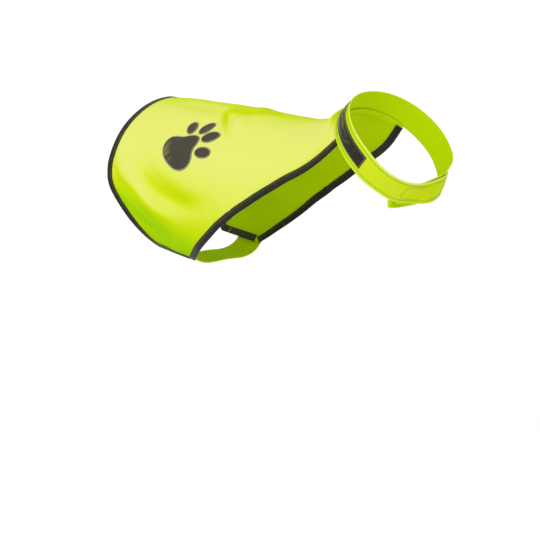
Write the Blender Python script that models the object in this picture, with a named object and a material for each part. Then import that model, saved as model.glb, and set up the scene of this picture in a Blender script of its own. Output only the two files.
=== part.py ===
# A dog's high-visibility vest, in the hollow shape that it has when it is worn.
# One saddle of cloth lies over the back and both flanks. Its edges are bound with reflective
# tape, its front is sewn to a collar strap that laps at the throat, and a belly strap joins
# its two lower corners.
#
# Metres, +Z up, +X towards the neck, -Y is the wearer's right flank. The origin is on the
# cloth's inner face, on the spine, where the wearer's back holds the vest.
#
# A place on the worn form is (along, girth): the distance along the top line from the rump,
# and the angle round the body from the spine, positive on the right flank.

from collections import namedtuple

import bmesh
import bpy
import numpy as np

MM = 0.001

# Cloth and tape thicknesses, and the clearances between sewn pieces
CLOTH = 1.2 * MM
TAPE = 1.0 * MM
STRAP = 2.0 * MM
SEAM_GAP = 0.3 * MM
BINDING_GAP = 0.38 * MM

# Widths
BINDING_WIDTH = 9 * MM
COLLAR_WIDTH = 38 * MM
COLLAR_TAPE_WIDTH = 20 * MM
PATCH_WIDTH = 22 * MM
BELLY_STRAP_WIDTH = 42 * MM
# How far the saddle reaches under the collar strap, and how far it does at the seam's ends
COLLAR_MARGIN = 8 * MM
COLLAR_MARGIN_END = 3.2 * MM

# The saddle's grid: rows run from its rear edge to its front edge, each side of the spine.
ROWS_EACH_SIDE = 34
COLUMNS = 30
COLLAR_SEAM_ROWS = 7

# Sections of the worn form: where its top line runs, how far the section leans forward, and its
# half width, half depth and squareness, where 2 is an ellipse. Millimetres and degrees.
Section = namedtuple("Section", "name x z lean half_width half_depth square")
SECTIONS = [
    Section("rump", -192, -9.5, -3, 97, 104, 2.0),
    Section("loin", -105, -3, 0, 98, 114, 2.05),
    Section("back", 0, 0, 1, 98, 120, 2.1),
    Section("shoulder", 80, -1, 6, 97, 120, 2.15),
    Section("withers", 135, 2, 24, 88, 106, 2.05),
    Section("nape", 172, 17, 50, 72, 77.5, 2.0),
]

# The saddle's rear edge from the spine, and its front edge from the nape section, each down to
# the lower corner. Millimetres and degrees.
Edge = namedtuple("Edge", "along girth")
REAR_EDGE = [
    Edge(17, 0),
    Edge(12, 25),
    Edge(6, 50),
    Edge(4, 66),
    Edge(3, 80),
    Edge(7, 93),
    Edge(18, 104),
    Edge(32, 115.5),
    Edge(47, 127),
    Edge(56, 134),
    Edge(68, 141),
]
FRONT_EDGE = [
    Edge(367, 62.3),
    Edge(349, 62.6),
    Edge(331, 63.2),
    Edge(313, 66),
    Edge(290, 73.5),
    Edge(265, 82.2),
    Edge(235, 91.8),
    Edge(214, 99.6),
    Edge(192, 110),
    Edge(165, 123.5),
    Edge(137, 140),
]
# How far short of a lower corner the rear binding stops, to leave room for the front binding
CORNER_ROOM = 8.4 * MM

# The largest folds: a smooth line of (along, girth) places, the fold's height there, negative for
# a trough, and its half width. A fold of both flanks is given on the right one. The left one has
# it a little further forward and a little softer.
BOTH_FLANKS, AS_GIVEN = (1, -1), (1,)
Fold = namedtuple("Fold", "name line height half_width sides")
FOLDS = [
    Fold("flank trough", [(50, 60), (85, 79), (116, 87), (150, 91), (196, 90)], -6.0, 15, BOTH_FLANKS),
    Fold("flank roll", [(36, 76), (60, 92), (92, 101), (140, 105)], 4.0, 15, BOTH_FLANKS),
    Fold("hem trough", [(14, 78), (32, 92), (60, 103), (90, 110), (136, 113)], -5.0, 12, BOTH_FLANKS),
    Fold("withers pinch", [(206, 44), (190, 31), (179, 20), (190, 12), (216, 6)], -5.0, 10, AS_GIVEN),
    Fold("withers roll", [(228, 40), (213, 30), (205, 22), (216, 16)], 3.0, 13, AS_GIVEN),
    Fold("left withers pinch", [(210, -38), (194, -29), (183, -21), (190, -12)], -3.5, 11, AS_GIVEN),
    Fold("spine dip", [(40, 8), (90, 12), (135, 14), (170, 15)], -2.0, 12, AS_GIVEN),
    Fold("loin sag", [(60, -26), (105, -20), (150, -24)], -2.5, 20, AS_GIVEN),
    Fold("shoulder sag", [(112, -13), (165, -16), (215, -18), (280, -18), (330, -16)], -4.5, 17, AS_GIVEN),
    Fold("nape puff", [(354, -45), (357, -15), (357, 14), (355, 34)], 9.0, 11, AS_GIVEN),
    Fold("nape valley", [(338, -44), (333, -10), (333, 12), (340, 40)], -4.0, 11, AS_GIVEN),
]
LEFT_SHIFT = 9 * MM
LEFT_SOFTER = 0.8
# Folds die out over this last stretch before the collar.
FLAT_AT_COLLAR = 7 * MM
# Turns an angle of girth into a distance, where only a rough one is needed
MEAN_RADIUS = 105 * MM

# The collar strap's course: the angle round the neck from the nape, positive on the right, the
# strap's shift towards the head, its slack away from the neck, and how far its head-side edge
# stands further out than its body-side edge. Its left end lies under its right end.
# Every piece on it starts and ends at a whole number of steps, so that layers share facets.
Course = namedtuple("Course", "angle shift slack flare")
COLLAR_COURSE = [
    Course(-216, -18, -6.5, -2),
    Course(-204, -11, -7.0, -4),
    Course(-190, -3, -7.0, -6),
    Course(-172, 3, -7.0, -6),
    Course(-154, 4, -6.0, -4),
    Course(-130, 4, -1.5, -1),
    Course(-110, 4, 0, 0),
    Course(-70, 4.2, 0, 0),
    Course(-40, 3, 0, 0),
    Course(0, 0.8, 0, 0),
    Course(40, 3, 0, 0),
    Course(70, 4.2, 0, 0),
    Course(92, 4, 0, 0),
    Course(110, 2, 0.2, 2),
    Course(125, 1, 0.5, 4),
    Course(142, 1, 1.0, 2),
    Course(160, 4.5, -0.5, -1),
    Course(182, 7, -1.0, -8),
    Course(207, 7, -0.5, -8),
]
COLLAR_STEP = 4.5
COLLAR_TAPE_END = 99
HOOK_FROM, HOOK_TO = 148.5, 198
LOOP_FROM, LOOP_TO = -211.5, -166.5
PATCH_THICKNESS = 1.0 * MM

# The belly strap crosses the belly and joins the saddle's two lower corners.
BELLY_STRAP_MIDDLE = 116 * MM
BELLY_SEWN_GIRTH = 118
BELLY_LAP_GIRTH = 236
# The strap passes inside the round form where a belly is flatter.
BELLY_FLATTER = 16 * MM
BELLY_LOOP_FROM, BELLY_LOOP_TO = 228, 246

# The paw appliqued on each flank: its middle and the way that it points. The pad is pear-shaped,
# with hollow sides. Its outline is given by the angle turned from its tip towards the spine, and
# its reach from the pad's middle. The toes are fanned round the paw's middle, each tilted a little.
PAW_ALONG, PAW_GIRTH = 130 * MM, 59
PAW_TURN = 43.5
PAD_SET_BACK = 2 * MM
Reach = namedtuple("Reach", "angle reach")
PAD_OUTLINE = [
    Reach(0, 40.5),
    Reach(12, 37.5),
    Reach(24, 32),
    Reach(38, 27),
    Reach(55, 25.2),
    Reach(75, 27.7),
    Reach(96, 31.3),
    Reach(118, 31.5),
    Reach(140, 28.6),
    Reach(165, 23.8),
    Reach(190, 21),
    Reach(215, 21),
    Reach(240, 23),
    Reach(265, 26),
    Reach(290, 28.3),
    Reach(310, 27.6),
    Reach(326, 26.2),
    Reach(341, 29.5),
    Reach(351, 36),
    Reach(360, 40.5),
]
Toe = namedtuple("Toe", "name turn reach length breadth tilt")
TOES = [
    Toe("upper_outer", 39.5, 40.2, 22, 18, 8),
    Toe("upper_inner", 11.5, 53, 28.5, 15.5, -6),
    Toe("lower_inner", -9.2, 54.4, 31, 17, -9),
    Toe("lower_outer", -35, 43, 29, 16.5, -4),
]

YELLOW = (0.62, 0.85, 0.02, 1)
REFLECTIVE = (0.055, 0.055, 0.05, 1)


# Smooth lines through tables

def through(knots, values, at):
    """Values read from a smooth curve through the knots, which rise."""
    knots = np.asarray(knots, float)
    values = np.asarray(values, float)
    rise = np.diff(values) / np.diff(knots)
    gaps = np.diff(knots)
    slope = np.empty(len(knots))
    slope[0], slope[-1] = rise[0], rise[-1]
    slope[1:-1] = (rise[:-1] * gaps[1:] + rise[1:] * gaps[:-1]) / (gaps[1:] + gaps[:-1])
    at = np.clip(np.asarray(at, float), knots[0], knots[-1])
    i = np.clip(np.searchsorted(knots, at, side="right") - 1, 0, len(gaps) - 1)
    t = (at - knots[i]) / gaps[i]
    start = values[i] * (1 + 2 * t) * (1 - t) ** 2 + gaps[i] * slope[i] * t * (1 - t) ** 2
    end = values[i + 1] * t**2 * (3 - 2 * t) + gaps[i] * slope[i + 1] * t**2 * (t - 1)
    return start + end


def column(rows, name, scale=1.0):
    return np.array([getattr(row, name) for row in rows], float) * scale


def unit(vectors):
    return vectors / np.linalg.norm(vectors, axis=-1, keepdims=True)


# The worn form

SECTION_X = column(SECTIONS, "x", MM)
SECTION_Z = column(SECTIONS, "z", MM)
SECTION_ALONG = np.concatenate([[0], np.cumsum(np.hypot(np.diff(SECTION_X), np.diff(SECTION_Z)))])
SECTION_LEAN = np.radians(column(SECTIONS, "lean"))
SECTION_WIDTH = column(SECTIONS, "half_width", MM)
SECTION_DEPTH = column(SECTIONS, "half_depth", MM)
SECTION_SQUARE = column(SECTIONS, "square")
NAPE = SECTION_ALONG[-1]


def rounded(value, square):
    return np.sign(value) * np.abs(value) ** (2 / square)


def bare_form(along, girth):
    """A point of the smooth form. Past the nape it runs straight on up the neck."""
    along, girth = np.broadcast_arrays(np.asarray(along, float), np.radians(girth))
    lean = through(SECTION_ALONG, SECTION_LEAN, along)
    square = through(SECTION_ALONG, SECTION_SQUARE, along)
    depth = through(SECTION_ALONG, SECTION_DEPTH, along)
    drop = depth * (1 - rounded(np.cos(girth), square))
    side = through(SECTION_ALONG, SECTION_WIDTH, along) * rounded(np.sin(girth), square)
    on = np.maximum(along - NAPE, 0) + np.minimum(along, 0)
    x = through(SECTION_ALONG, SECTION_X, along) + np.sin(lean) * drop + np.cos(lean) * on
    z = through(SECTION_ALONG, SECTION_Z, along) - np.cos(lean) * drop + np.sin(lean) * on
    return np.stack([x, -side, z], -1)


def slopes(along, girth):
    """The form's two directions of travel at a place, per metre along and per degree round."""
    step, turn = 0.5 * MM, 0.25
    forward = (bare_form(along + step, girth) - bare_form(along - step, girth)) / (2 * step)
    round_body = (bare_form(along, girth + turn) - bare_form(along, girth - turn)) / (2 * turn)
    return forward, round_body


def fold_height(along, girth):
    """How far the folds lift the cloth at a place."""
    height = np.zeros(np.shape(along))
    arc = np.radians(girth) * MEAN_RADIUS
    for fold in FOLDS:
        line = np.array(fold.line, float)
        knots = np.arange(len(line))
        share = np.linspace(0, 1, 41)
        fold_along = through(knots, line[:, 0], share * knots[-1]) * MM
        fold_arc = np.radians(through(knots, line[:, 1], share * knots[-1])) * MEAN_RADIUS
        for side in fold.sides:
            shift = 0 if side > 0 else LEFT_SHIFT
            strength = 1 if side > 0 else LEFT_SOFTER
            away = np.hypot(along[..., None] - fold_along - shift, arc[..., None] - side * fold_arc)
            nearest = away.argmin(-1)
            fade = np.sin(np.pi * np.clip(share[nearest], 0.04, 0.96)) ** 0.7
            bell = np.exp(-((away.min(-1) / (fold.half_width * MM)) ** 2))
            height = height + strength * fold.height * MM * fade * bell
    return height * np.clip((NAPE - along) / FLAT_AT_COLLAR, 0, 1)


def form(along, girth, lift=0.0):
    """A point of the worn cloth's inner face, moved out by lift."""
    along, girth = np.broadcast_arrays(np.asarray(along, float), np.asarray(girth, float))
    forward, round_body = slopes(along, girth)
    out = unit(np.cross(round_body, forward))
    return bare_form(along, girth) + out * (fold_height(along, girth) + lift)[..., None]


# The saddle's outline

def spaced(edge, count):
    """Places along an edge table, evenly spaced by distance, with both of its ends."""
    along, girth = column(edge, "along", MM), column(edge, "girth")
    steps = np.hypot(np.diff(along), np.diff(np.radians(girth)) * MEAN_RADIUS)
    knots = np.concatenate([[0], np.cumsum(steps)])
    at = np.linspace(0, knots[-1], 600)
    fine_along, fine_girth = through(knots, along, at), through(knots, girth, at)
    walked = np.linalg.norm(np.diff(bare_form(fine_along, fine_girth), axis=0), axis=-1)
    distance = np.concatenate([[0], np.cumsum(walked)])
    at = np.interp(np.linspace(0, distance[-1], count + 1), distance, at)
    return through(knots, along, at), through(knots, girth, at)


def saddle_edges():
    """The places where the saddle's rows begin and end, from the spine to the right corner."""
    free_rows = ROWS_EACH_SIDE - COLLAR_SEAM_ROWS - 1
    along, girth = spaced(FRONT_EDGE, free_rows)
    along[0] = NAPE
    seam_girth = np.linspace(0, girth[0], COLLAR_SEAM_ROWS + 1)
    seam_along = np.full(COLLAR_SEAM_ROWS + 1, NAPE + COLLAR_MARGIN)
    seam_along[-1] = NAPE + COLLAR_MARGIN_END
    front = np.concatenate([seam_along, along]), np.concatenate([seam_girth, girth])
    return spaced(REAR_EDGE, ROWS_EACH_SIDE), front


def saddle_places():
    """The saddle's grid of places, from its left corner over the spine to its right corner."""
    (rear_along, rear_girth), (front_along, front_girth) = saddle_edges()
    across = np.linspace(0, 1, COLUMNS + 1)
    along = rear_along[:, None] + (front_along - rear_along)[:, None] * across
    girth = rear_girth[:, None] + (front_girth - rear_girth)[:, None] * across
    # On the collar seam the grid's last line but one lies in the crease at the strap's edge.
    for i in range(COLLAR_SEAM_ROWS + 1):
        along[i, :-1] = np.linspace(rear_along[i], NAPE, COLUMNS)
    return np.concatenate([along[:0:-1], along]), np.concatenate([-girth[:0:-1], girth])


# Building closed solids

def material(name, colour, roughness, metallic):
    made = bpy.data.materials.new(name)
    made.use_nodes = True
    shader = made.node_tree.nodes["Principled BSDF"]
    shader.inputs["Base Color"].default_value = colour
    shader.inputs["Roughness"].default_value = roughness
    shader.inputs["Metallic"].default_value = metallic
    return made


def finish(name, mesh, colour, roughness=0.75, metallic=0.0):
    """Turns a bmesh into a named object whose faces point outwards."""
    bmesh.ops.recalc_face_normals(mesh, faces=mesh.faces)
    data = bpy.data.meshes.new(name)
    mesh.to_mesh(data)
    mesh.free()
    data.shade_smooth()
    data.set_sharp_from_angle(angle=np.radians(40))
    made = bpy.data.objects.new(name, data)
    bpy.context.scene.collection.objects.link(made)
    data.materials.append(material(name, colour, roughness, metallic))
    return made


def grid_wall(name, inner, outer, colour, **look):
    """A cloth wall between two matching grids of points, closed along its border."""
    rows, columns = inner.shape[:2]
    mesh = bmesh.new()
    low = [[mesh.verts.new(point) for point in row] for row in inner]
    high = [[mesh.verts.new(point) for point in row] for row in outer]
    for face in (low, high):
        for i in range(rows - 1):
            for j in range(columns - 1):
                mesh.faces.new([face[i][j], face[i][j + 1], face[i + 1][j + 1], face[i + 1][j]])
    border = [(0, j) for j in range(columns - 1)]
    border += [(i, columns - 1) for i in range(rows - 1)]
    border += [(rows - 1, j) for j in range(columns - 1, 0, -1)]
    border += [(i, 0) for i in range(rows - 1, 0, -1)]
    for (i, j), (m, n) in zip(border, border[1:] + border[:1]):
        mesh.faces.new([low[i][j], low[m][n], high[m][n], high[i][j]])
    return finish(name, mesh, colour, **look)


def loft(name, rings, colour, **look):
    """A closed solid through matching closed sections, capped at both ends."""
    mesh = bmesh.new()
    loops = [[mesh.verts.new(point) for point in ring] for ring in rings]
    size = len(loops[0])
    for a, b in zip(loops, loops[1:]):
        for k in range(size):
            mesh.faces.new([a[k], a[(k + 1) % size], b[(k + 1) % size], b[k]])
    mesh.faces.new(loops[0])
    mesh.faces.new(loops[-1])
    return finish(name, mesh, colour, **look)


def disc_wall(name, outline, place, lifts, rings, colour, **look):
    """An applique: rings from a middle point out to an outline, given thickness on the cloth."""
    mesh = bmesh.new()
    layers = []
    for lift in lifts:
        middle = mesh.verts.new(place(np.zeros(1), np.zeros(1), lift)[0])
        loops = []
        for k in range(1, rings + 1):
            points = place(outline[:, 0] * k / rings, outline[:, 1] * k / rings, lift)
            loops.append([mesh.verts.new(point) for point in points])
        count = len(outline)
        for i in range(count):
            j = (i + 1) % count
            mesh.faces.new([middle, loops[0][i], loops[0][j]])
            for a, b in zip(loops, loops[1:]):
                mesh.faces.new([a[i], b[i], b[j], a[j]])
        layers.append(loops[-1])
    below, above = layers
    for i in range(len(below)):
        j = (i + 1) % len(below)
        mesh.faces.new([below[i], below[j], above[j], above[i]])
    return finish(name, mesh, colour, **look)


# The saddle and its bindings

def make_saddle():
    along, girth = saddle_places()
    return grid_wall("saddle", form(along, girth), form(along, girth, CLOTH), YELLOW)


def binding(name, along, girth, inwards, square_sections=0):
    """Tape folded over the saddle's edge, along a line of places. inwards is +1 if the cloth
    lies to the left of the line's travel, seen from outside, and -1 if it lies to the right.
    The first square_sections lie straight round the neck, in line with the strap."""
    forward, round_body = slopes(along, girth)
    points = form(along, girth)
    travel = unit(np.gradient(points, axis=0))
    out = unit(np.cross(round_body, forward))
    inward = np.cross(out, travel) * inwards
    # The same direction as a step along and a step round, so that the tape's legs follow the form
    ahead, turned = (inward * forward).sum(-1), (inward * round_body).sum(-1)
    forward_square, round_square = (forward**2).sum(-1), (round_body**2).sum(-1)
    mixed = (forward * round_body).sum(-1)
    scale = forward_square * round_square - mixed**2
    step_along = (ahead * round_square - turned * mixed) / scale
    step_round = (turned * forward_square - ahead * mixed) / scale
    step_along[:square_sections] = 0
    step_round[:square_sections] = inwards / np.sqrt(round_square[:square_sections])

    def at(distance, lift):
        return form(along + step_along * distance, girth + step_round * distance, lift)

    near, far = -BINDING_GAP, CLOTH + BINDING_GAP
    profile = [
        (BINDING_WIDTH, far + TAPE), (-BINDING_GAP - TAPE, far + TAPE),
        (-BINDING_GAP - TAPE, near - TAPE), (BINDING_WIDTH, near - TAPE),
        (BINDING_WIDTH, near), (-BINDING_GAP, near), (-BINDING_GAP, far), (BINDING_WIDTH, far),
    ]
    sections = np.stack([at(distance, lift) for distance, lift in profile], 1)
    return loft(name, sections, REFLECTIVE, roughness=0.45, metallic=0.1)


def make_bindings():
    """One binding runs round the rear edge from corner to corner, and one down each front edge."""
    (rear_along, rear_girth), (front_along, front_girth) = saddle_edges()
    end_along = np.linspace(rear_along[-1], front_along[-1] - CORNER_ROOM, 7)[1:]
    end_girth = np.interp(end_along, [rear_along[-1], front_along[-1]], [rear_girth[-1], front_girth[-1]])
    right = np.concatenate([rear_along, end_along]), np.concatenate([rear_girth, end_girth])
    binding("rear_binding", np.concatenate([right[0][:0:-1], right[0]]),
            np.concatenate([-right[1][:0:-1], right[1]]), 1)
    along, girth = front_along[COLLAR_SEAM_ROWS:], front_girth[COLLAR_SEAM_ROWS:]
    binding("front_binding_right", along, girth, -1, 2)
    binding("front_binding_left", along, -girth, 1, 2)


# The collar strap

LEAN = SECTION_LEAN[-1]
UP_NECK = np.array([np.cos(LEAN), 0, np.sin(LEAN)])
DORSAL = np.array([-np.sin(LEAN), 0, np.cos(LEAN)])
RIGHTWARDS = np.array([0.0, -1.0, 0.0])
COLLAR_CENTRE = np.array([SECTION_X[-1], 0, SECTION_Z[-1]]) - DORSAL * SECTION_DEPTH[-1]


def collar_point(angle, height, lift):
    """A point on the strap's course: round the neck, across the strap, and out from it."""
    angles = column(COLLAR_COURSE, "angle")
    shift = through(angles, column(COLLAR_COURSE, "shift", MM), angle)
    slack = through(angles, column(COLLAR_COURSE, "slack", MM), angle)
    flare = through(angles, column(COLLAR_COURSE, "flare", MM), angle)
    turn = np.radians(angle)
    out = unit(np.cos(turn)[..., None] * DORSAL / SECTION_DEPTH[-1]
               + np.sin(turn)[..., None] * RIGHTWARDS / SECTION_WIDTH[-1])
    on_neck = (COLLAR_CENTRE + np.cos(turn)[..., None] * DORSAL * SECTION_DEPTH[-1]
               + np.sin(turn)[..., None] * RIGHTWARDS * SECTION_WIDTH[-1])
    away = slack + flare * (height / COLLAR_WIDTH - 0.5) + lift
    return on_neck + out * away[..., None] + UP_NECK * (height + shift)[..., None]


def collar_wall(name, angle_from, angle_to, heights, low, high, colour, **look):
    steps = round((angle_to - angle_from) / COLLAR_STEP)
    angle, height = np.meshgrid(np.linspace(angle_from, angle_to, steps + 1), heights, indexing="ij")
    return grid_wall(name, collar_point(angle, height, low), collar_point(angle, height, high),
                     colour, **look)


def make_collar():
    """The strap, the tape round its nape, and the hook and loop patches between its lapped ends."""
    inside = CLOTH + SEAM_GAP
    outside = inside + STRAP
    edge = 5 * MM
    strap_heights = np.array([0, edge, COLLAR_WIDTH / 2, COLLAR_WIDTH - edge, COLLAR_WIDTH])
    collar_wall("collar_strap", COLLAR_COURSE[0].angle, COLLAR_COURSE[-1].angle, strap_heights,
                inside, outside, YELLOW)
    middle = COLLAR_WIDTH / 2
    half_tape, half_patch = COLLAR_TAPE_WIDTH / 2, PATCH_WIDTH / 2
    tape_heights = np.array([middle - half_tape, middle + half_tape])
    collar_wall("collar_tape", -COLLAR_TAPE_END, COLLAR_TAPE_END, tape_heights,
                outside + SEAM_GAP, outside + SEAM_GAP + TAPE, REFLECTIVE, roughness=0.45, metallic=0.1)
    patch_heights = np.array([middle - half_patch, middle + half_patch])
    collar_wall("collar_hook_patch", HOOK_FROM, HOOK_TO, patch_heights,
                inside - SEAM_GAP - PATCH_THICKNESS, inside - SEAM_GAP, YELLOW, roughness=0.95)
    collar_wall("collar_loop_patch", LOOP_FROM, LOOP_TO, patch_heights,
                outside + SEAM_GAP, outside + SEAM_GAP + PATCH_THICKNESS, YELLOW, roughness=0.95)


# The belly strap

def belly_wall(name, girth_from, girth_to, half_width, low, high, colour, **look):
    """A band across the belly. low and high give its two faces' lifts at a girth."""
    steps = max(4, round((girth_to - girth_from) / 4.5))
    girth = np.linspace(girth_from, girth_to, steps + 1)
    offset = np.array([-half_width, half_width])
    band_girth, band_offset = np.meshgrid(girth, offset, indexing="ij")
    along = BELLY_STRAP_MIDDLE + band_offset
    # Past the belly's lowest line the girth is read from the left flank, where folds are measured.
    signed = np.where(band_girth > 180, band_girth - 360, band_girth)
    return grid_wall(name, form(along, signed, low(band_girth)), form(along, signed, high(band_girth)),
                     colour, **look)


def make_belly_strap():
    """Sewn inside the right corner, it crosses under the belly and laps outside the left one."""
    sewn = -2 * BINDING_GAP - TAPE - STRAP
    cover = CLOTH + BINDING_GAP + TAPE
    loop_low = CLOTH + SEAM_GAP
    loop_high = loop_low + PATCH_THICKNESS
    hook_low = max(loop_high, cover) + SEAM_GAP
    lapped = hook_low + PATCH_THICKNESS + SEAM_GAP
    leaves, arrives = 143, 217

    def strap_low(girth):
        t = np.clip((girth - leaves) / (arrives - leaves), 0, 1)
        return sewn + (lapped - sewn) * t * t * (3 - 2 * t) - BELLY_FLATTER * np.sin(np.pi * t) ** 1.5

    def level(lift):
        return lambda girth: np.full(np.shape(girth), lift)

    belly_wall("belly_strap", BELLY_SEWN_GIRTH, BELLY_LAP_GIRTH, BELLY_STRAP_WIDTH / 2,
               strap_low, lambda girth: strap_low(girth) + STRAP, YELLOW)
    for name, low in (("belly_loop_patch", loop_low), ("belly_hook_patch", hook_low)):
        belly_wall(name, BELLY_LOOP_FROM, BELLY_LOOP_TO, PATCH_WIDTH / 2,
                   level(low), level(low + PATCH_THICKNESS), YELLOW, roughness=0.95)


# The paws

def paw_place(side):
    """Places a paw's flat outline on a flank: u runs forward and v up towards the spine."""
    turn = np.radians(PAW_TURN)
    forward, round_body = slopes(np.array(PAW_ALONG), np.array(float(PAW_GIRTH)))
    per_metre_along = 1 / np.linalg.norm(forward)
    per_metre_round = 1 / np.linalg.norm(round_body)

    def place(u, v, lift):
        ahead = u * np.cos(turn) - v * np.sin(turn)
        upwards = u * np.sin(turn) + v * np.cos(turn)
        girth = PAW_GIRTH - upwards * per_metre_round
        return form(PAW_ALONG + ahead * per_metre_along, side * girth, lift)

    return place


def oval(length, breadth, count, turn):
    """An ellipse's outline, its long axis turned to point away from the paw's middle."""
    angle = np.linspace(0, 2 * np.pi, count, endpoint=False)
    u, v = length / 2 * np.cos(angle), breadth / 2 * np.sin(angle)
    turn = np.radians(turn)
    return np.stack([u * np.cos(turn) - v * np.sin(turn), u * np.sin(turn) + v * np.cos(turn)], -1)


def pad_outline(count):
    """The pad's outline round the paw's middle."""
    angle = np.linspace(0, 360, count, endpoint=False)
    reach = through(column(PAD_OUTLINE, "angle"), column(PAD_OUTLINE, "reach", MM), angle)
    turn = np.radians(angle)
    return np.stack([reach * np.cos(turn) - PAD_SET_BACK, reach * np.sin(turn)], -1)


def make_paws():
    lifts = (CLOTH + SEAM_GAP, CLOTH + SEAM_GAP + TAPE)
    for side_name, side in (("right", 1), ("left", -1)):
        place = paw_place(side)
        disc_wall(f"paw_pad_{side_name}", pad_outline(40), place, lifts, 4, REFLECTIVE,
                  roughness=0.45, metallic=0.1)
        for toe in TOES:
            middle = np.radians(toe.turn)
            offset = toe.reach * MM * np.array([np.cos(middle), np.sin(middle)])
            shape = oval(toe.length * MM, toe.breadth * MM, 20, toe.turn + toe.tilt)

            def toe_place(u, v, lift, offset=offset):
                return place(u + offset[0], v + offset[1], lift)

            disc_wall(f"paw_toe_{toe.name}_{side_name}", shape, toe_place, lifts, 2, REFLECTIVE,
                      roughness=0.45, metallic=0.1)


def main():
    for old in list(bpy.data.objects):
        bpy.data.objects.remove(old)
    make_saddle()
    make_bindings()
    make_collar()
    make_belly_strap()
    make_paws()


main()
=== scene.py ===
import math
from functools import partial

import bmesh
import bpy
import numpy as np
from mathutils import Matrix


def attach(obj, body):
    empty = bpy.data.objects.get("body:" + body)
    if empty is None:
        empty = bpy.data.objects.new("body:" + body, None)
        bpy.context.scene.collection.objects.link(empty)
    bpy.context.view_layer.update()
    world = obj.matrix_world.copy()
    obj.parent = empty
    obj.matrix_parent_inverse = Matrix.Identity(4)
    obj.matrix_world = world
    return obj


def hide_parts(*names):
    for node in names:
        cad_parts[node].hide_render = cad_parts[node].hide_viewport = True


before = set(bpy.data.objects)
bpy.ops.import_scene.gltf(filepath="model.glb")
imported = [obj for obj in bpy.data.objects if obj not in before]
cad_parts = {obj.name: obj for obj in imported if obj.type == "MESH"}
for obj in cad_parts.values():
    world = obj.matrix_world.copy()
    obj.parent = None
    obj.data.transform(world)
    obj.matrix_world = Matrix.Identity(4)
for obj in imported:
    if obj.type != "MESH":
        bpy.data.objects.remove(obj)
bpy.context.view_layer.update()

# A dog's high-visibility vest in the hollow shape that it has when it is worn.
# Metres. +X runs towards the neck, -Y is the wearer's right flank, +Z is up out of the back.
# A place on the cloth is (along, girth): the way from the rump along the top line, and the
# angle round the body from the spine, positive on the right flank.

mm = 0.001

cloth = {
    "thickness": 1.2 * mm,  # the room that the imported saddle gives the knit
    "seamGap": 0.3 * mm,
    "rowsEachSide": 100,  # lines of the saddle's grid from the spine down each flank
    "columns": 180,
    "seamRows": 20,  # of those lines, the ones that run under the collar
    "collarMargin": 8 * mm,  # cloth that lies under the collar, and at the seam's two ends
    "collarMarginEnd": 3.2 * mm,
}

wornForm = {
    # x, z, lean in degrees, half width, half depth (in mm) and squareness, from rump to nape
    "sections": [
        (-192, -9.5, -3, 97, 104, 2.0),
        (-105, -3, 0, 98, 114, 2.05),
        (0, 0, 1, 98, 120, 2.1),
        (80, -1, 6, 97, 120, 2.15),
        (135, 2, 24, 88, 106, 2.05),
        (172, 17, 50, 72, 77.5, 2.0),
    ],
    "meanRadius": 105 * mm,  # turns degrees of girth into a way on the cloth
    "leftShift": 9 * mm,  # how the left flank's folds differ from the right one's
    "leftSofter": 0.8,
    "flatAtCollar": 7 * mm,  # the folds run out over this way before the nape
}

# The saddle's rear and front edges, each from the top down to the right corner: (along, girth)
saddleCut = {
    "rear": [(17, 0), (12, 25), (6, 50), (4, 66), (3, 80), (7, 93), (18, 104), (32, 115.5),
             (47, 127), (56, 134), (68, 141)],
    "front": [(367, 62.3), (349, 62.6), (331, 63.2), (313, 66), (290, 73.5), (265, 82.2),
              (235, 91.8), (214, 99.6), (192, 110), (165, 123.5), (137, 140)],
    "cornerRoom": 8.4 * mm,  # the rear tape ends this far from the front edge
}

# The folds that the cloth hangs in: places, height and half width in mm
flankFolds = {  # on both flanks, a little further forward and softer on the left one
    "flank trough": ([(50, 60), (85, 79), (116, 87), (150, 91), (196, 90)], -6.0, 15),
    "flank roll": ([(30, 76), (56, 89), (90, 99), (140, 106)], 4.0, 14),
    "hem trough": ([(10, 84), (28, 102), (56, 114), (90, 122), (132, 125)], -3.4, 16),
}
topFolds = {  # only where they are given
    "withers pinch": ([(206, 44), (190, 31), (179, 20), (190, 12), (216, 6)], -5.0, 10),
    "withers roll": ([(228, 40), (213, 30), (205, 22), (216, 16)], 3.0, 13),
    "left withers pinch": ([(210, -38), (194, -29), (183, -21), (190, -12)], -3.5, 11),
    "spine dip": ([(40, 8), (90, 12), (135, 14), (170, 15)], -2.0, 12),
    "loin sag": ([(60, -26), (105, -20), (150, -24)], -2.5, 20),
    "shoulder sag": ([(112, -13), (165, -16), (215, -18), (280, -18), (330, -16)], -4.5, 17),
    "nape puff": ([(354, -45), (357, -15), (357, 14), (355, 34)], 7.5, 13),
    "nape rise": ([(326, -42), (322, -8), (322, 12), (332, 40)], 2.6, 18),
    "collar rise": ([(360, -32), (363, -12), (362, 6)], 4.5, 10),
    "withers rise": ([(198, -28), (202, -8), (203, 6)], 2.0, 13),
    "rear left sag": ([(4, -10), (16, -18), (32, -28)], -3.5, 14),
}

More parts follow.
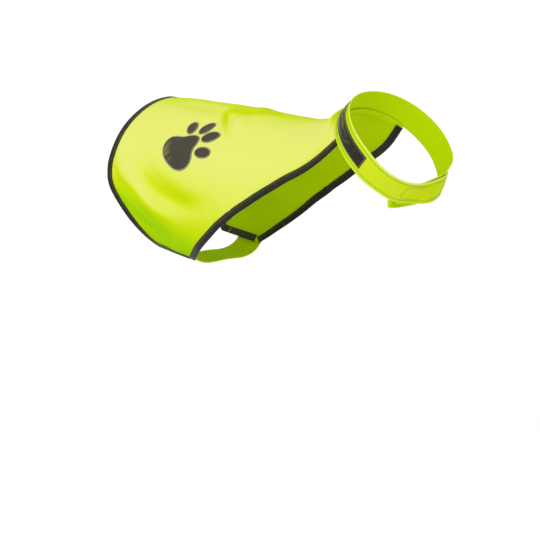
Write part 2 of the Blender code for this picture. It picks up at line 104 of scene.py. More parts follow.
# Finer creases, placed in the same way on both flanks
fineCreases = {
    "pinch floor": ([(166, 14), (176, 24), (190, 32.5), (201, 41)], -1.1, 4),
    "pinch lip": ([(212, 38), (199, 28), (190, 19), (197, 12)], 0.8, 5),
    "shoulder pull": ([(262, 30), (288, 42), (318, 54), (344, 60)], -0.7, 9),
    "shoulder swell": ([(240, 46), (275, 56), (305, 62)], 0.8, 13),
    "corner pull": ([(152, 112), (150, 123), (146, 134)], -0.7, 7),
    "corner swell": ([(120, 118), (118, 127), (112, 136)], 0.7, 9),
    "rear drag": ([(22, 30), (48, 42), (70, 50)], -0.5, 10),
    "back ripple": ([(120, 4), (150, 8), (182, 9)], 0.7, 7),
    "nape cleft": ([(362, 36), (361.5, 26), (363, 17), (362, 6)], -0.9, 4),
    "flank wrinkle": ([(92, 70), (120, 78), (150, 82)], -0.5, 8),
}
# Painted shade and painted light in the folds and along the hems, added to what the faces' lie paints:
# places, change, half width
flankPaintedShading = {
    "trough core": ([(62, 72), (78, 79.5), (95, 85), (121, 88.5), (150, 90), (172, 90)], -0.24, 6),
    "trough shade": ([(56, 72), (84, 86), (122, 92), (165, 96), (205, 95)], -0.10, 17),
    "hem shade": ([(6, 80), (15, 92), (32, 105), (52, 114), (78, 123), (122, 129)], -0.27, 15),
    "hem lip": ([(22, 82), (34, 91), (58, 98.5), (80, 106), (97, 112), (122, 118)], -0.11, 5),
    "hem ridge": ([(30, 74), (50, 82), (72, 89.5), (88, 96), (105, 101), (126, 103.5), (150, 106)],
                  0.12, 5),
    "hem line": ([(9, 58), (14, 69), (18, 77), (25, 84), (34, 87), (46, 89), (60, 92), (71, 96.5),
                  (82, 100.5)], -0.24, 4.5),
    "hem deep": ([(14, 92), (26, 103), (44, 112)], -0.10, 8),
    "rear edge shade": ([(4, 62), (2, 76), (6, 90)], -0.16, 7),
    "pinch down": ([(163, 13), (174, 22), (188, 31), (201, 41)], -0.22, 3.4),
    "front hem": ([(352, 44), (352, 54), (341, 56), (322, 59), (286, 69)], -0.22, 7),
    "neck light": ([(292, 30), (322, 24), (346, 32)], 0.22, 16),
    "nape side": ([(343, 6), (344, 20), (346, 36)], 0.15, 8),
}
# Painted shade over the top, only where it is given: places, change, half width
topPaintedShading = {
    "pinch over": ([(174, 24), (165, 16), (168, 11), (184, 8.5), (206, 6), (234, 3.5), (266, 3)], -0.32, 6),
    "pinch corner": ([(172, 19), (173, 14), (184, 11), (204, 9)], -0.22, 5),
    "pinch top": ([(174, 5), (190, 0), (216, -4), (246, -7), (280, -8)], -0.26, 9),
    "left pinch over": ([(196, -30), (184, -21), (190, -12), (214, -8)], -0.2, 6),
    "nape cleft": ([(361, 38), (360, 28), (361, 18), (361, 6), (361, -8)], -0.36, 5),
    "nape top": ([(352, 14), (354, 0), (354, -16)], -0.34, 12),
}


def throughPoints(knots, values, at):  # a smooth curve through a table's values
    knots, values = np.asarray(knots, float), np.asarray(values, float)
    gaps = np.diff(knots)
    rise = np.diff(values) / gaps
    slope = np.empty(len(knots))
    slope[0], slope[-1] = rise[0], rise[-1]
    slope[1:-1] = (rise[:-1] * gaps[1:] + rise[1:] * gaps[:-1]) / (gaps[1:] + gaps[:-1])
    at = np.clip(np.asarray(at, float), knots[0], knots[-1])
    i = np.clip(np.searchsorted(knots, at, side="right") - 1, 0, len(gaps) - 1)
    t = (at - knots[i]) / gaps[i]
    start = values[i] * (1 + 2 * t) * (1 - t) ** 2 + gaps[i] * slope[i] * t * (1 - t) ** 2
    end = values[i + 1] * t**2 * (3 - 2 * t) + gaps[i] * slope[i + 1] * t**2 * (t - 1)
    return start + end


def unit(vectors):
    return vectors / np.maximum(np.linalg.norm(vectors, axis=-1, keepdims=True), 1e-12)


def bell(away, halfWidth):
    return np.exp(-((away / halfWidth) ** 2))


def signedPower(values, power):
    return np.sign(values) * np.abs(values) ** power


def travelled(points):  # how far along the line through the points each one lies
    return np.concatenate([[0], np.cumsum(np.linalg.norm(np.diff(points, axis=0), axis=-1))])


sections = np.array(wornForm["sections"], float)
sectionX, sectionZ = sections[:, 0] * mm, sections[:, 1] * mm
sectionLean = np.radians(sections[:, 2])
sectionWidth, sectionDepth = sections[:, 3] * mm, sections[:, 4] * mm
sectionSizes = (sectionX, sectionZ, sectionLean, sectionWidth, sectionDepth, sections[:, 5])
sectionAlong = np.concatenate([[0], np.cumsum(np.hypot(np.diff(sectionX), np.diff(sectionZ)))])
nape = sectionAlong[-1]
neckRadius = sectionWidth[-1]


def bareForm(along, girth):
    along, girth = np.broadcast_arrays(np.asarray(along, float), np.radians(girth))
    x, z, lean, width, depth, square = [throughPoints(sectionAlong, size, along) for size in sectionSizes]
    drop = depth * (1 - signedPower(np.cos(girth), 2 / square))
    side = width * signedPower(np.sin(girth), 2 / square)
    past = np.maximum(along - nape, 0) + np.minimum(along, 0)
    return np.stack([x + np.sin(lean) * drop + np.cos(lean) * past, -side,
                     z - np.cos(lean) * drop + np.sin(lean) * past], -1)


def slopes(along, girth):  # the form's travel per metre along and per degree round
    step, turn = 0.5 * mm, 0.25
    forward = (bareForm(along + step, girth) - bareForm(along - step, girth)) / (2 * step)
    roundBody = (bareForm(along, girth + turn) - bareForm(along, girth - turn)) / (2 * turn)
    return forward, roundBody


def creaseLines(folds, both, scale=mm):  # each fold as a fine line, with its height and half width
    made = []
    for places, height, halfWidth in folds.values():
        places = np.array(places, float)
        knots = np.arange(len(places))
        at = np.linspace(0, knots[-1], 33)
        lineAlong = throughPoints(knots, places[:, 0], at) * mm
        lineArc = np.radians(throughPoints(knots, places[:, 1], at)) * wornForm["meanRadius"]
        made.append((lineAlong, lineArc, height * scale, halfWidth * mm))
        if both:
            made.append((lineAlong + wornForm["leftShift"], -lineArc,
                         height * scale * wornForm["leftSofter"], halfWidth * mm))
    return made


allCreases = creaseLines(topFolds, False) + creaseLines(flankFolds, True) + creaseLines(fineCreases, True)
allPaintedShading = creaseLines(flankPaintedShading, True, 1.0) + creaseLines(topPaintedShading, False, 1.0)


def lineSum(lines, along, girth):  # what all the lines together add at each place
    along, girth = np.broadcast_arrays(np.asarray(along, float), np.asarray(girth, float))
    shape = along.shape
    along, arc = along.ravel(), np.radians(girth.ravel()) * wornForm["meanRadius"]
    total = np.zeros(along.shape)
    for lineAlong, lineArc, tall, halfWidth in lines:
        reach = 3.2 * halfWidth  # further off, a line adds nothing that shows
        near = (along > lineAlong.min() - reach) & (along < lineAlong.max() + reach)
        near &= (arc > lineArc.min() - reach) & (arc < lineArc.max() + reach)
        if not near.any():
            continue
        stepAlong, stepArc = np.diff(lineAlong), np.diff(lineArc)
        fromAlong = along[near][:, None] - lineAlong[:-1]
        fromArc = arc[near][:, None] - lineArc[:-1]
        share = (fromAlong * stepAlong + fromArc * stepArc) / (stepAlong**2 + stepArc**2)
        share = np.clip(share, 0, 1)
        away = np.hypot(fromAlong - share * stepAlong, fromArc - share * stepArc)
        pick = away.argmin(-1)[:, None]
        where = (pick[:, 0] + np.take_along_axis(share, pick, 1)[:, 0]) / len(stepAlong)
        fade = np.sin(np.pi * np.clip(where, 0.04, 0.96)) ** 0.7
        total[near] += tall * fade * bell(np.take_along_axis(away, pick, 1)[:, 0], halfWidth)
    return total.reshape(shape)


def foldHeight(along, girth):
    fade = np.clip((nape - np.asarray(along, float)) / wornForm["flatAtCollar"], 0, 1)
    return lineSum(allCreases, along, girth) * fade


def wornPoint(along, girth, lift=0.0):  # a point on the cloth's inner face, moved out by lift
    along, girth = np.broadcast_arrays(np.asarray(along, float), np.asarray(girth, float))
    forward, roundBody = slopes(along, girth)
    out = unit(np.cross(roundBody, forward))
    return bareForm(along, girth) + out * (foldHeight(along, girth) + lift)[..., None]


# Painted light and shade from the way each face looks, pale where lit and deep green where shaded: a start,
# then what a face adds that looks to the neck, to a flank, up, down. Inside faces get one flat painted shade
paintedLight = {
    "cloth": (0.0, 0.0, 0.76, 0.65, -0.85),
    "strap": (0.31, 0.30, 0.30, 0.08, -0.08),
    "inside": 0.42,
}


# Meshes

def makeMesh(name, points, faces, uv=None):
    data = bpy.data.meshes.new(name)
    data.from_pydata(np.asarray(points).reshape(-1, 3).tolist(), [], faces)
    data.update()
    if uv is not None:
        layer = data.uv_layers.new(name="weave")
        corners = np.zeros(len(data.loops), np.int32)
        data.loops.foreach_get("vertex_index", corners)
        layer.data.foreach_set("uv", np.asarray(uv, np.float32).reshape(-1, 2)[corners].ravel())
    data.shade_smooth()
    made = bpy.data.objects.new(name, data)
    bpy.context.scene.collection.objects.link(made)
    return made


def facePairs(inner, outer):  # quads between two matching grids, closed round their border
    rows, columns = inner.shape[:2]
    low = np.arange(rows * columns).reshape(rows, columns)
    high = low + rows * columns
    faces = []
    for grid, turned in ((low, True), (high, False)):
        quads = np.stack([grid[:-1, :-1], grid[:-1, 1:], grid[1:, 1:], grid[1:, :-1]], -1)
        quads = quads.reshape(-1, 4)
        faces += (quads[:, ::-1] if turned else quads).tolist()
    rim = [(0, j) for j in range(columns - 1)] + [(i, columns - 1) for i in range(rows - 1)]
    rim += [(rows - 1, j) for j in range(columns - 1, 0, -1)] + [(i, 0) for i in range(rows - 1, 0, -1)]
    for a, b in zip(rim, rim[1:] + rim[:1]):
        faces.append([int(low[a]), int(low[b]), int(high[b]), int(high[a])])
    return faces


def outwards(obj):  # turns the faces outwards where the whole mesh came out inside out
    mesh = bmesh.new()
    mesh.from_mesh(obj.data)
    if mesh.calc_volume(signed=True) < 0:
        bmesh.ops.reverse_faces(mesh, faces=mesh.faces)
        mesh.to_mesh(obj.data)
    mesh.free()
    return obj


def sheetWall(name, inner, outer, uv):
    points = np.concatenate([inner.reshape(-1, 3), outer.reshape(-1, 3)])
    both = np.concatenate([uv.reshape(-1, 2), uv.reshape(-1, 2)])
    return outwards(makeMesh(name, points, facePairs(inner, outer), both))


def ringFaces(count, size, start=0):  # the points' numbers in matching closed rings, and the quads
    index = start + np.arange(count * size).reshape(count, size)
    following = np.roll(index, -1, axis=1)
    quads = np.stack([index[:-1], following[:-1], following[1:], index[1:]], -1)
    return index.tolist(), quads.reshape(-1, 4).tolist()


def closedBand(name, rings, uv):  # a band through matching closed sections, with both ends closed
    index, faces = ringFaces(*rings.shape[:2])
    return outwards(makeMesh(name, rings, faces + [index[0][::-1], index[-1]], uv))


def evenly(edge, count):  # places along an edge's table, evenly spaced by distance
    table = np.array(edge, float)
    along, girth = table[:, 0] * mm, table[:, 1]
    steps = np.hypot(np.diff(along), np.diff(np.radians(girth)) * wornForm["meanRadius"])
    knots = np.concatenate([[0], np.cumsum(steps)])
    at = np.linspace(0, knots[-1], 800)
    distance = travelled(bareForm(throughPoints(knots, along, at), throughPoints(knots, girth, at)))
    at = np.interp(np.linspace(0, distance[-1], count + 1), distance, at)
    return throughPoints(knots, along, at), throughPoints(knots, girth, at)


def saddleEdges():
    rows, seam = cloth["rowsEachSide"], cloth["seamRows"]
    along, girth = evenly(saddleCut["front"], rows - seam - 1)
    along[0] = nape
    seamGirth = np.linspace(0, girth[0], seam + 1)
    seamAlong = np.full(seam + 1, nape + cloth["collarMargin"])
    seamAlong[-1] = nape + cloth["collarMarginEnd"]
    front = np.concatenate([seamAlong, along]), np.concatenate([seamGirth, girth])
    return evenly(saddleCut["rear"], rows), front


def bothFlanks(along, girth):  # a line from the spine down the right flank, carried on to the left
    return np.concatenate([along[:0:-1], along]), np.concatenate([-girth[:0:-1], girth])


def makeSaddle():
    (rearAlong, rearGirth), (frontAlong, frontGirth) = saddleEdges()
    across = np.linspace(0, 1, cloth["columns"] + 1)
    along = rearAlong[:, None] + (frontAlong - rearAlong)[:, None] * across
    girth = rearGirth[:, None] + (frontGirth - rearGirth)[:, None] * across
    ahead = 4  # the grid's last lines lie over the collar seam
    for i in range(cloth["seamRows"] + 1):
        along[i, :-ahead] = np.linspace(rearAlong[i], nape, cloth["columns"] + 1 - ahead)
        along[i, -ahead - 1:] = np.linspace(nape, frontAlong[i], ahead + 1)
    along, girth = bothFlanks(along, girth)
    uv = np.stack([along, np.radians(girth) * wornForm["meanRadius"]], -1)
    made = sheetWall("saddle_cloth", wornPoint(along, girth, 0.2 * mm),
                     wornPoint(along, girth, cloth["thickness"]), uv)
    givePaintedShading(made, paintedLight["cloth"], np.tile(lineSum(allPaintedShading, along, girth).ravel(), 2))
    return made


def giveNumber(obj, name, values):
    layer = obj.data.attributes.new(name, "FLOAT", "POINT")
    layer.data.foreach_set("value", np.asarray(values, np.float32).ravel())


def vectorsOf(items, name):
    values = np.zeros(len(items) * 3)
    items.foreach_get(name, values)
    return values.reshape(-1, 3)


bodyAxis = np.array([0.0, 0.0, -0.1]), np.array([1.0, 0.0, 0.0])  # a point and a direction


def givePaintedShading(obj, light, change=0.0, axis=bodyAxis):
    # painted light and shade at each point, from the way its normal faces, alike on both flanks: pale where
    # lit, deep green painted shade in folds and below.
    # A point counts as outside where its normal turns away from the axis
    normals = vectorsOf(obj.data.vertex_normals, "vector")
    points = vectorsOf(obj.data.vertices, "co")
    start, neckwards, sidewards, up, down = light
    painted_shading = start + neckwards * normals[:, 0] + sidewards * np.abs(normals[:, 1]) + change
    painted_shading = painted_shading + up * np.maximum(normals[:, 2], 0) - down * np.minimum(normals[:, 2], 0)
    away = points - axis[0]
    outer = (normals * (away - (away @ axis[1])[:, None] * axis[1])).sum(-1) > 0
    # inside faces get one flat painted shade
    painted_shading = np.where(outer, painted_shading, paintedLight["inside"])
    giveNumber(obj, "painted_shading", np.clip(painted_shading, 0, 1))


# Bindings

binding = {
    "width": 9 * mm,
    "gap": 0.38 * mm,  # from the cloth's faces
    "tape": 1.0 * mm,  # how thick the folded tape is
    "step": 1.6 * mm,
    "squareEnd": 8 * mm,  # the stretch of a front tape that lies square to the collar
}


def waver(distance, waves):  # a fixed uneven ripple: each wave's length in mm, size and phase
    total = np.zeros(np.shape(distance))
    for length, size, phase in waves:
        total = total + size * np.sin(2 * np.pi * distance / (length * mm) + phase)
    return total


def tapePlaces(along, girth, inwards, squareEnd=0.0):
    # at(distance, lift) gives the points at that way in from the edge, all along it
    forward, roundBody = slopes(along, girth)
    points = wornPoint(along, girth)
    travel = unit(np.gradient(points, axis=0))
    out = unit(np.cross(roundBody, forward))
    inward = np.cross(out, travel) * inwards
    ahead, turned = (inward * forward).sum(-1), (inward * roundBody).sum(-1)
    forwardSquare, roundSquare = (forward**2).sum(-1), (roundBody**2).sum(-1)
    mixed = (forward * roundBody).sum(-1)
    scale = forwardSquare * roundSquare - mixed**2
    stepAlong = (ahead * roundSquare - turned * mixed) / scale
    stepRound = (turned * forwardSquare - ahead * mixed) / scale
    walked = travelled(points)
    if squareEnd:  # the first stretch lies straight round the neck, in line with the strap
        share = np.clip(1 - walked / squareEnd, 0, 1) ** 0.5
        stepAlong = stepAlong * (1 - share)
        stepRound = stepRound * (1 - share) + share * inwards / np.sqrt(roundSquare)

    def at(distance, lift):
        return wornPoint(along + stepAlong * distance, girth + stepRound * distance, lift)

    return at, walked, out


def tapeBand(name, along, girth, inwards, pucker, squareEnd=0.0):
    at, walked, out = tapePlaces(along, girth, inwards, squareEnd)
    width, gap = binding["width"], binding["gap"]
    top = cloth["thickness"] + gap
    rough, wide = pucker(walked)
    ripple = waver(walked, [(9.3, 0.5, 0.4), (14.7, 0.6, 2.1), (5.9, 0.3, 4.0)]) * rough
    sway = waver(walked, [(21, 0.22, 1.0), (12.4, 0.16, 3.0)]) * rough
    swell = waver(walked, [(7.1, 0.5, 2.2), (11.9, 0.5, 0.3)]) * rough
    tip = (width + sway * mm) * wide
    # the folded tape seen end on: how far in from the edge, and how far out of the cloth
    profile = [
        (tip, top + (0.10 + 0.12 * np.abs(ripple)) * mm),
        (tip - 0.15 * mm, top + (0.42 + 0.16 * np.abs(ripple)) * mm),
        (tip - 0.6 * mm, top + (0.62 + 0.16 * ripple) * mm),
        (tip - 1.5 * mm, top + (0.60 + 0.14 * ripple) * mm),
        (tip - 2.1 * mm, top + (0.40 + 0.05 * ripple) * mm),
        (tip - 2.7 * mm, top + (0.36 + 0.03 * ripple) * mm),
        (tip - 3.4 * mm, top + (0.62 + 0.10 * swell) * mm),
        (tip - 4.6 * mm, top + (0.86 + 0.16 * swell) * mm),
        (0.33 * tip, top + (0.92 + 0.16 * swell) * mm),
        (0.18 * tip, top + (0.86 + 0.12 * swell) * mm),
        (0.05 * tip, top + (0.66 + 0.05 * swell) * mm),
        (-0.55 * mm, top + 0.25 * mm),
        (-1.02 * mm, top - 0.45 * mm),
        (-1.12 * mm, 0.5 * top),
        (-1.00 * mm, 0.15 * mm),
        (-0.5 * mm, -gap - 0.45 * mm),
        (0.4 * mm, -gap - 0.72 * mm),
        (0.5 * width, -gap - 0.78 * mm),
        (width - 0.6 * mm, -gap - 0.70 * mm),
        (width - 0.1 * mm, -gap - 0.45 * mm),
        (width, -gap - 0.08 * mm),
        (0.5 * width, -gap - 0.05 * mm),
        (-gap * 0.8, -gap * 0.7),
        (-gap * 0.8, top - 0.1 * mm),
        (0.5 * width, top + 0.05 * mm),
    ]
    rings = np.stack([at(distance, lift) for distance, lift in profile], 1)
    uv = np.stack(np.broadcast_arrays(walked[:, None], np.arange(len(profile)) * mm), -1)
    made = closedBand(name, rings, uv)
    # painted highlights: glints on the crests of the puckered ripples, and painted light on faces that look
    # up
    paintedHighlights = np.broadcast_to((np.maximum(swell, 0) * np.maximum(rough - 0.8, 0))[:, None], rings.shape[:2])
    upwards = vectorsOf(made.data.vertex_normals, "vector")[:, 2]
    giveNumber(made, "painted_highlight", paintedHighlights.ravel() * 0.3 + 0.07 * np.clip(upwards + 0.5, 0, 1))
    return made, (at(tip - 2.4 * mm, top + 0.42 * mm), out)  # and the line for its stitches


def rearPucker(walked):
    # wide and gathered a little way before each lower corner, and narrow in the corner itself
    near = np.minimum(walked, walked[-1] - walked)
    rough = 0.4 + 1.6 * bell(near - 48 * mm, 14 * mm) + 0.9 * np.exp(-near / (14 * mm))
    wider = np.clip((near - 36 * mm) / (5 * mm), 0, 1) * np.clip((150 * mm - near) / (60 * mm), 0, 1)
    narrower = np.clip((38 * mm - near) / (5 * mm), 0, 1)
    return rough, 1 + 0.15 * wider - 0.36 * narrower


def frontPucker(walked):  # smooth, but for its lower end and the seam at the collar
    near = walked[-1] - walked
    rough = 0.22 + 1.6 * np.exp(-near / (9 * mm)) + 0.5 * np.exp(-walked / (12 * mm))
    return rough, np.ones(len(walked))


def evenSteps(along, girth):
    walked = travelled(bareForm(along, girth))
    at = np.linspace(0, walked[-1], round(walked[-1] / binding["step"]))
    return np.interp(at, walked, along), np.interp(at, walked, girth)


def makeBindings():
    (rearAlong, rearGirth), (frontAlong, frontGirth) = saddleEdges()
    endAlong = np.linspace(rearAlong[-1], frontAlong[-1] - saddleCut["cornerRoom"], 30)[1:]
    endGirth = np.interp(endAlong, [rearAlong[-1], frontAlong[-1]], [rearGirth[-1], frontGirth[-1]])
    along, girth = bothFlanks(np.concatenate([rearAlong, endAlong]), np.concatenate([rearGirth, endGirth]))
    rear = tapeBand("rear_tape", *evenSteps(along, girth), 1, rearPucker)
    along, girth = evenSteps(frontAlong[cloth["seamRows"]:], frontGirth[cloth["seamRows"]:])
    right = tapeBand("front_tape_right", along, girth, -1, frontPucker, binding["squareEnd"])
    left = tapeBand("front_tape_left", along, -girth, 1, frontPucker, binding["squareEnd"])
    return rear, right, left


# The collar strap. Angles go round the neck from the spine, and heights from its rear rim forwards

collar = {
    # its course: degrees round the neck, then its shift to the head, slack and flare in mm
    "course": [
        (-216, -18, -6.5, -2), (-204, -11, -7.0, -4), (-190, -3, -7.0, -6), (-172, 3, -7.0, -6),
        (-154, 4, -6.0, -4), (-130, 4, -1.5, -1), (-110, 4, 0, 0), (-70, 4.2, 0, 0), (-40, 3, 0, 0),
        (0, 0.8, 0, 0), (40, 3, 0, 0), (70, 4.2, 0, 0), (92, 4, 0, 0), (110, 2, 0.2, 2),
        (125, 1, 0.5, 4), (142, 1, 1.0, 2), (160, 4.5, -0.5, -1), (182, 7, -1.0, -8),
        (207, 4, -0.5, -11),
    ],
    "width": 38 * mm,
    "strap": 2.0 * mm,
    "hem": 4.8 * mm,
    "tapeWidth": 20 * mm,
    "tapeGrid": (400, 49),  # fine, so that the tape's creases show
    "tapeEnd": 99,
    "tapeSeam": 1.3 * mm,  # how far in from the tape's edge its stitches lie
    "patchWidth": 22 * mm,
    "hookPatch": (148.5, 198),
    "loopPatch": (-211.5, -166.5),
    "patchLine": (173, 27),  # middle and half length, in degrees, of the outline stitched over them
    "degreesPerStep": 1.5,
    "cutReach": 24,  # degrees over which an end's slanted cut runs out
    "smoothTo": 88,  # it lies smooth this many degrees each way, and ripples fully after these more
    "freeOver": 25,
}
upNeck = np.array([np.cos(sectionLean[-1]), 0, np.sin(sectionLean[-1])])
dorsal = np.array([-np.sin(sectionLean[-1]), 0, np.cos(sectionLean[-1])])
rightwards = np.array([0.0, -1.0, 0.0])
neckCentre = np.array([sectionX[-1], 0, sectionZ[-1]]) - dorsal * sectionDepth[-1]
courseTable = np.array(collar["course"], float)
strapInside = cloth["thickness"] + cloth["seamGap"]
strapOutside = strapInside + collar["strap"]


def collarPoint(angle, height, lift):
    angle, height, lift = np.broadcast_arrays(
        np.asarray(angle, float), np.asarray(height, float), np.asarray(lift, float))
    shift, slack, flare = [
        throughPoints(courseTable[:, 0], courseTable[:, column] * mm, angle) for column in (1, 2, 3)]
    turn = np.radians(angle)
    cosine, sine = np.cos(turn)[..., None], np.sin(turn)[..., None]
    out = unit(cosine * dorsal / sectionDepth[-1] + sine * rightwards / neckRadius)
    onNeck = neckCentre + cosine * dorsal * sectionDepth[-1] + sine * rightwards * neckRadius
    away = slack + flare * (height / collar["width"] - 0.5) + lift + strapRipple(angle, height)
    return onNeck + out * away[..., None] + upNeck * (height + shift)[..., None]


def strapRipple(angle, height):  # soft waves that the strap and all that lies on it share
    free = np.clip((np.abs(angle) - collar["smoothTo"]) / collar["freeOver"], 0, 1)
    across = height / collar["width"] - 0.5
    soft = 0.35 * np.sin(np.radians(angle) * 9 + 4 * across)
    soft = soft + 0.3 * np.sin(np.radians(angle) * 14 + 1.3) * np.cos(3 * across)
    return soft * free * mm


def collarAngles(angleFrom, angleTo, heights, underCut=0.0, lapCut=0.0):
    # the angles along a band, its ends moved by as many degrees as the cuts give for each height
    steps = round((angleTo - angleFrom) / collar["degreesPerStep"])
    angle = np.linspace(angleFrom, angleTo, steps + 1)[:, None] + np.zeros(len(heights))
    angle = angle + underCut * np.clip(1 - (angle - angleFrom) / collar["cutReach"], 0, 1)
    return angle + lapCut * np.clip(1 - (angleTo - angle) / collar["cutReach"], 0, 1)


def collarBand(name, angle, height, lift):
    uv = np.stack(np.broadcast_arrays(np.radians(angle) * neckRadius, height), -1)
    return closedBand(name, collarPoint(angle, height, lift), uv)


def ribbonProfile(width, low, high, hem):  # a ribbon hemmed along both sides, seen end on
    seam = hem / mm
    upper = [(0.0, 0.5), (0.12, 0.78), (0.5, 0.98), (1.4, 1.06), (2.6, 1.05), (3.8, 0.98),
             (seam - 0.35, 0.90), (seam, 0.84), (seam + 0.35, 0.88), (seam + 1.2, 0.94),
             (seam + 3.0, 0.97), (seam + 6.0, 1.0)]
    under = [(0.5, 0.06), (1.4, 0.0), (seam, 0.08), (seam + 3.0, 0.04)]
    places = [(height * mm, share) for height, share in upper] + [(width / 2, 1.0)]
    places += [(width - height * mm, share) for height, share in upper[::-1] + under]
    places += [(width / 2, 0.04)] + [(height * mm, share) for height, share in under[::-1]]
    return [(height, low + (high - low) * share) for height, share in places]


def tapeProfile(width, middle, low, high):
    start, end, rise = middle - width / 2, middle + width / 2, high - low
    return [(start, low), (start + 0.08 * mm, low + 0.6 * rise), (start + 0.5 * mm, low + 0.9 * rise),
            (start + 0.2 * width, high), (middle, high), (end - 0.2 * width, high),
            (end - 0.5 * mm, low + 0.9 * rise), (end - 0.08 * mm, low + 0.6 * rise), (end, low),
            (middle, low)]


# Creases of the collar tape: (angle, height in mm) to (angle, height), height and half width in mm
collarTapeCreases = [
    ((6, 27), (30, 12), 0.45, 0.6), ((18, 27), (46, 11), 0.5, 0.6), ((30, 12), (50, 19), 0.4, 0.6),
    ((40, 12), (62, 15), 0.45, 0.6), ((42, 27), (60, 22), 0.35, 0.6), ((33, 27.5), (57, 13), -0.4, 0.8),
    ((66, 12), (78, 22), 0.2, 0.9), ((-30, 26), (-12, 12), 0.45, 0.6), ((-48, 12), (-26, 20), -0.4, 0.8),
    ((-58, 26), (-40, 13), 0.4, 0.6), ((-84, 22), (-74, 14), 0.2, 1.0),
]
wrinkles = np.random.default_rng(11)
for crumple in range(64):  # and many short ones, nearly lengthwise, closest together at the bend
    side = 1 if crumple % 3 else -1
    startAngle, startHeight = side * wrinkles.triangular(2, 26, 62), wrinkles.uniform(11, 27)
    collarTapeCreases.append((
        (startAngle, startHeight),
        (startAngle + wrinkles.uniform(7, 20), np.clip(startHeight + wrinkles.normal(-2, 3.5), 10.5, 27.5)),
        wrinkles.choice([0.5, 0.36, -0.4]), wrinkles.uniform(0.35, 0.65)))


def strokeSum(strokes, u, v, ends=0.08, perU=1.0):  # what strokes add at each place
    total = np.zeros(np.shape(u))
    for (ua, va), (ub, vb), size, halfWidth in strokes:  # perU is the mm in one unit of their u
        ua, ub = ua * perU, ub * perU
        du, dv = ub - ua, vb - va
        share = np.clip(((u / mm - ua) * du + (v / mm - va) * dv) / (du * du + dv * dv), 0, 1)
        away = np.hypot(u / mm - ua - share * du, v / mm - va - share * dv)
        fade = np.sin(np.pi * np.clip(share, ends, 1 - ends)) ** 0.6
        total = total + size * fade * bell(away, halfWidth)
    return total


def makeRibbon():
    width, hem = collar["width"], collar["hem"]
    height, lift = np.array(ribbonProfile(width, strapInside + 0.05 * mm, strapOutside, hem)).T
    angle = collarAngles(courseTable[0, 0], courseTable[-1, 0], height,
                         np.maximum(2 - 0.5 * height / mm, -4), 2 - 4 * height / width)
    made = collarBand("collar_ribbon", angle, height, lift)
    # painted highlight at its rims and its under end, painted shade where the lap shades it and in the hems'
    # seams
    fromEnd = angle - angle[0]
    change = 0.22 * bell(fromEnd, 2.2) - 0.5 * bell(fromEnd - 9, 5.5)
    change = change + 0.16 * bell(height, 2 * mm) + 0.30 * bell(height - width, 2 * mm)
    for seam in (hem, width - hem):
        change = change - 0.45 * bell(height - seam, 0.6 * mm)
    givePaintedShading(made, paintedLight["strap"], change.ravel(), (neckCentre, upNeck))
    return made


def makeCollarTape():
    middle, width, end = collar["width"] / 2, collar["tapeWidth"], collar["tapeEnd"]
    columns, rows = collar["tapeGrid"]
    angle, height = np.meshgrid(np.linspace(-end, end, columns),
                                middle + np.linspace(-0.5, 0.5, rows) * width, indexing="ij")
    arc = np.radians(angle) * neckRadius
    inFromEdge = np.minimum(width / 2 - np.abs(height - middle),
                            np.radians(end - np.abs(angle)) * neckRadius)
    perDegree = math.radians(1) * neckRadius / mm
    crease = strokeSum(collarTapeCreases, arc, height, 0.05, perDegree) * mm
    crease = crease * np.clip((inFromEdge - 1.4 * mm) / (2 * mm), 0, 1)
    rise = 0.45 * mm * (1 - np.exp(-inFromEdge / (0.35 * mm)))
    groove = 0.15 * mm * bell(inFromEdge - collar["tapeSeam"], 0.5 * mm)
    high = strapOutside + cloth["seamGap"] + 0.15 * mm + rise - groove + crease
    made = sheetWall("collar_tape_strip", collarPoint(angle, height, strapOutside + 0.12 * mm),
                     collarPoint(angle, height, high), np.stack([arc, height], -1))
    # painted highlights: glints along the crests of the tape's creases
    giveNumber(made, "painted_highlight", np.tile(1.5 * crease.ravel() / mm, 2))
    return made


def collarPatch(name, span, low):
    profile = tapeProfile(collar["patchWidth"], collar["width"] / 2, low, low + 1.0 * mm)
    height, lift = np.array(profile).T
    made = collarBand(name, collarAngles(*span, height), height, lift)
    givePaintedShading(made, paintedLight["strap"], axis=(neckCentre, upNeck))
    return made


# The belly strap, sewn inside the right corner and lapped outside the left one

belly = {
    "middle": 116 * mm,  # its middle line, along the top line
    "width": 42 * mm,
    "sewnGirth": 118,  # from here on the right flank, under the belly, to here on the left one
    "lapGirth": 236,
    "flatter": 16 * mm,  # how much less than the form it hangs down
    "loopFrom": 228,
    "loopTo": 246,
    "patchLine": (226.5, 8),
    "hem": 4.8 * mm,
    "bendFrom": 143,  # the strap leaves the right flank here and has come to the left one there
    "bendTo": 217,
    "degreesPerStep": 1.2,
    "meanRadius": 100 * mm,
}
bellySewn = -2 * binding["gap"] - binding["tape"] - collar["strap"]
loopLow = cloth["thickness"] + cloth["seamGap"]
loopHigh = loopLow + 1.0 * mm
hookLow = max(loopHigh, cloth["thickness"] + binding["gap"] + binding["tape"]) + cloth["seamGap"]
bellyLapped = hookLow + 1.0 * mm + cloth["seamGap"]


def bellyLift(girth):
    t = np.clip((girth - belly["bendFrom"]) / (belly["bendTo"] - belly["bendFrom"]), 0, 1)
    flatter = belly["flatter"] * np.sin(np.pi * t) ** 1.5
    return bellySewn + (bellyLapped - bellySewn) * t * t * (3 - 2 * t) - flatter


def bellyPoint(girth, offset, lift):
    signed = np.where(girth > 180, girth - 360, girth)
    return wornPoint(belly["middle"] + offset, signed, lift)


def bellyOn(girth, height, lift):  # a point on the strap, its height taken from the strap's rim
    return bellyPoint(girth, height - belly["width"] / 2, bellyLift(girth) + lift)


